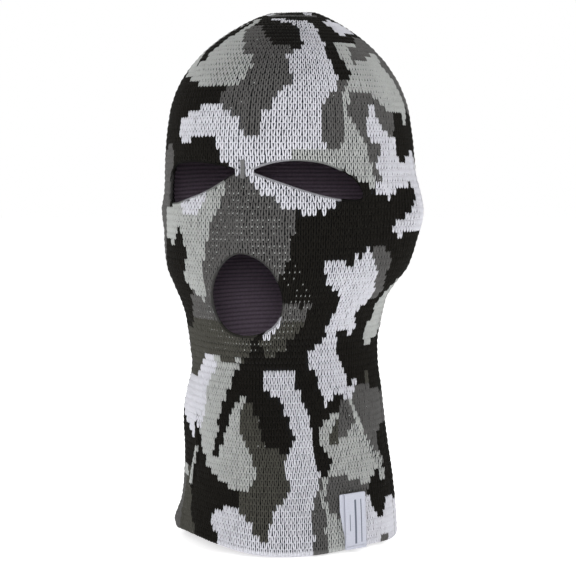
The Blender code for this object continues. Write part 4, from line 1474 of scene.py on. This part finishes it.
LABEL_ANGLE = 54.0
LABEL_BASE = 2.6
LABEL_WIDTH = 22.0
LABEL_HEIGHT = 36.0
LABEL_CLOTH = 0.35
LABEL_LOOP = 1.3
LABEL_STAND_OFF = 1.2
LABEL_FACE = (-6.8, 10.6)
LABEL_SLIP = 3.6
LABEL_ASIDE = -1.9
LABEL_BULGE = 0.35
LABEL_RIPPLE = 0.10
LABEL_ZIGZAGS = 17
LABEL_CODE = "bec0cc"
LABEL_LINE_CODE = "5d6270"
LABEL_THREAD_CODE = "b9bbc4"
# The plain woven lines on the label: place across, half width, and where it starts and ends up the label.
LABEL_LINES = ((6.6, 0.40, 4.0, 31.5), (1.6, 0.75, 3.2, 31.5), (-3.0, 0.30, 12.0, 22.5))


def label_place():
    """The label's hinge as a point and three directions: along it, away from the neck, and up the label."""
    climb = climb_at_height(LABEL_BASE)
    foot = skin(LABEL_ANGLE, climb, 0.0, shaped=False)
    head = skin(LABEL_ANGLE, climb_at_height(LABEL_BASE + LABEL_HEIGHT), 0.0, shaped=False)
    sides = skin(np.array([LABEL_ANGLE - 0.5, LABEL_ANGLE + 0.5]), climb, np.zeros(2), shaped=False)
    along = unit((sides[1] - sides[0]) * (1.0, 1.0, 0.0))
    away = np.array([along[1], -along[0], 0.0])
    lean = math.atan2(np.dot(foot - head, away), head[2] - foot[2])
    up = np.array([0.0, 0.0, math.cos(lean)]) - away * math.sin(lean)
    out = np.cross(along, up)
    return foot + away * LABEL_STAND_OFF, along, out, up


def label_side():
    """The folded label seen from its side, as how far out and up each point is, and how many are in front."""
    top = LABEL_HEIGHT - LABEL_LOOP / 2
    front = [(LABEL_LOOP, z) for z in np.linspace(0.0, top, 70, endpoint=False)]
    turns = np.linspace(0.0, math.pi, 11)
    fold = [(LABEL_LOOP / 2 * (1 + math.cos(turn)), top + LABEL_LOOP / 2 * math.sin(turn)) for turn in turns]
    back = [(0.0, z) for z in np.linspace(top, 0.4, 40)[1:]]
    return np.array(front + fold + back), len(front)


def label_flap(finish):
    """The folded label, whose back half slips aside, with plain woven lines on its front."""
    origin, along, out, up = label_place()
    line, front_count = label_side()
    across = np.linspace(*LABEL_FACE, 89)
    ahead = line[:, 0] / LABEL_LOOP
    rise = line[:, 1] / LABEL_HEIGHT
    slip = -LABEL_SLIP * np.clip(1.0 - ahead, 0.0, 1.0) * np.clip((rise - 0.25) / 0.45, 0.0, 1.0) ** 0.8
    aside = slip + LABEL_ASIDE * (1.0 - 0.6 * rise)
    bulge = LABEL_BULGE * np.sin(np.pi * rise)[:, None] * np.cos((across - 2.0) / LABEL_WIDTH * np.pi)
    ripple = LABEL_RIPPLE * np.sin(across * 0.9) * rise[:, None]
    turn = unit(np.gradient(line, axis=0))
    layers = []
    for depth in (0.0, LABEL_CLOTH):
        x = across + aside[:, None]
        y = (line[:, 0] - turn[:, 1] * depth)[:, None] + (bulge + ripple) * ahead[:, None]
        z = (line[:, 1] + turn[:, 0] * depth)[:, None] + 0 * x
        layers.append(origin + x[..., None] * along + y[..., None] * out + z[..., None] * up)
    points, faces = two_layer_sheet(*layers)
    flap = mesh_object("label_flap", points, [faces], finish)
    colours = np.empty((2, len(line), len(across), 3))
    colours[:] = srgb(LABEL_CODE)
    in_front = np.arange(len(line)) < front_count
    for place, half_width, start, end in LABEL_LINES:
        rows = in_front & (line[:, 1] > start) & (line[:, 1] < end)
        colours[0][np.ix_(rows, np.abs(across - place) < half_width)] = srgb(LABEL_LINE_CODE)
    add_paint(flap, colours.reshape(-1, 3))
    return flap


def label_stitches(finish):
    """The zigzag thread that holds the label's lower edge."""
    origin, along, out, up = label_place()
    places = np.linspace(LABEL_FACE[0] + 0.7, LABEL_FACE[1] - 0.7, LABEL_ZIGZAGS) + LABEL_ASIDE
    y = LABEL_LOOP + 0.25
    zigzag = [origin + along * x + out * y + up * (1.7 + 0.5 * (-1) ** k) for k, x in enumerate(places)]
    return rope("label_thread", zigzag, 0.25, finish, False, pitch=1.4, depth=0.15, sides=8, step=0.2)


def label_pieces():
    """The label and its thread, which turn together."""
    flap = label_flap(tape_material())
    stitches = label_stitches(yarn_material("label_thread", LABEL_THREAD_CODE, 0.05, 0.1))
    settings = ((flap, "label", "woven_tape"), (stitches, "label_stitching", "label_thread"))
    for piece, node, slot_name in settings:
        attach(piece, "label")
        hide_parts(node)


# The stage ---------------------------------------------------------------------------------------------

CAMERA_AZIMUTH = 16.0
CAMERA_DISTANCE = 1.17
CAMERA_HEIGHT = 0.25
AIM_HEIGHT = 0.167
AIM_ASIDE = 0.0013
VIEW_WIDTH = 0.387
SENSOR = 36.0
WHITE_LIGHT = (1.0, 1.0, 1.0, 1.0)
LIGHTS_AIM = (0.0, 0.0, 0.19)
WORLD_STRENGTH = 0.42
FLOOR_GLOW = 0.64
FLOOR_RADIUS = 7.0
FLOOR_DROP = 0.0002
# Each light's name, azimuth like the camera's, distance, height, size and power.
LIGHTS = (
    ("key_light", -30.0, 1.5, 1.3, 0.9, 7.5),
    ("fill_light", 60.0, 1.6, 1.1, 1.0, 5.5),
    ("front_light", 16.0, 1.5, 0.38, 0.30, 6.6),
    ("top_light", 180.0, 0.8, 1.7, 1.2, 6.0),
    ("back_light", 215.0, 1.6, 0.8, 1.0, 5.0),
)


def add_camera():
    """The camera, slightly above the eyes and to the wearer's left."""
    turn = math.radians(CAMERA_AZIMUTH)
    place = Vector((math.sin(turn) * CAMERA_DISTANCE, -math.cos(turn) * CAMERA_DISTANCE, CAMERA_HEIGHT))
    aim = Vector((math.cos(turn) * AIM_ASIDE, math.sin(turn) * AIM_ASIDE, AIM_HEIGHT))
    data = bpy.data.cameras.new("camera")
    data.sensor_width = SENSOR
    data.lens = SENSOR * (place - aim).length / VIEW_WIDTH
    data.clip_start = 0.05
    data.clip_end = 50.0
    camera = bpy.data.objects.new("camera", data)
    camera.location = place
    camera.rotation_euler = (aim - place).to_track_quat("-Z", "Y").to_euler()
    bpy.context.scene.collection.objects.link(camera)
    bpy.context.scene.camera = camera


def add_light(name, azimuth, distance, height, size, power):
    """A soft square light at an azimuth like the camera's, aimed at the middle of the object."""
    turn = math.radians(azimuth)
    data = bpy.data.lights.new(name, "AREA")
    data.shape = "SQUARE"
    data.size = size
    data.energy = power
    light = bpy.data.objects.new(name, data)
    light.visible_camera = False
    light.location = (math.sin(turn) * distance, -math.cos(turn) * distance, height)
    aim = Vector(LIGHTS_AIM) - light.location
    light.rotation_euler = aim.to_track_quat("-Z", "Y").to_euler()
    bpy.context.scene.collection.objects.link(light)


def add_stage():
    """A plain pale floor under a pale sky, and the soft studio lights."""
    bpy.ops.mesh.primitive_circle_add(
        vertices=96, radius=FLOOR_RADIUS, fill_type="NGON", location=(0.0, 0.0, -FLOOR_DROP))
    floor = bpy.context.object
    floor.name = "studio_floor"
    made, tree, shader = new_material("pale_floor", 0.85)
    tone = ramp_between(tree, noise_node(tree, 3.0, 2.0), (0.90,) * 3, (0.93,) * 3)
    tree.links.new(tone, shader.inputs["Base Color"])
    shader.inputs["Emission Color"].default_value = WHITE_LIGHT
    shader.inputs["Emission Strength"].default_value = FLOOR_GLOW
    floor.data.materials.append(made)
    world = bpy.data.worlds.new("studio")
    world.use_nodes = True
    tree = world.node_tree
    ambient = tree.nodes["Background"]
    ambient.inputs["Color"].default_value = WHITE_LIGHT
    ambient.inputs["Strength"].default_value = WORLD_STRENGTH
    backdrop = tree.nodes.new("ShaderNodeBackground")
    backdrop.inputs["Color"].default_value = WHITE_LIGHT
    kind = tree.nodes.new("ShaderNodeLightPath")
    mix = tree.nodes.new("ShaderNodeMixShader")
    tree.links.new(kind.outputs["Is Camera Ray"], mix.inputs[0])
    tree.links.new(ambient.outputs[0], mix.inputs[1])
    tree.links.new(backdrop.outputs[0], mix.inputs[2])
    tree.links.new(mix.outputs[0], tree.nodes["World Output"].inputs["Surface"])
    bpy.context.scene.world = world
    for light in LIGHTS:
        add_light(*light)
    bpy.context.scene.view_settings.view_transform = "Standard"


def main():
    """Makes every piece round the frame."""
    add_camera()
    finishes = [yarn_material(*settings) for settings in
                zip(YARN_NAMES, YARN_CODES, YARN_SPREADS, YARN_SHEENS)]
    others = {
        "edging": painted_material("edging_yarn"),
        "seam": painted_material("seam_yarn"),
        "thread": yarn_material("grey_thread", THREAD_CODE, 0.15, 0.1),
        "lining": painted_material("lining_cloth"),
    }
    ground_finish = painted_material("knit_ground")
    front = Panel("front", True, FRONT_WALES)
    back = Panel("back", False, BACK_WALES)
    lining(others["lining"])
    hem_layer(painted_material("hem_knit"))
    edges_and_seams(others)
    for panel, seed, node in ((front, 11, "front_panel"), (back, 23, "back_panel")):
        yarns = knit_panel(panel, seed, finishes)
        ground = ground_sheet(panel, seed + 1, ground_finish)
        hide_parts(node)
    bartack(others["thread"])
    label_pieces()
    add_stage()


main()
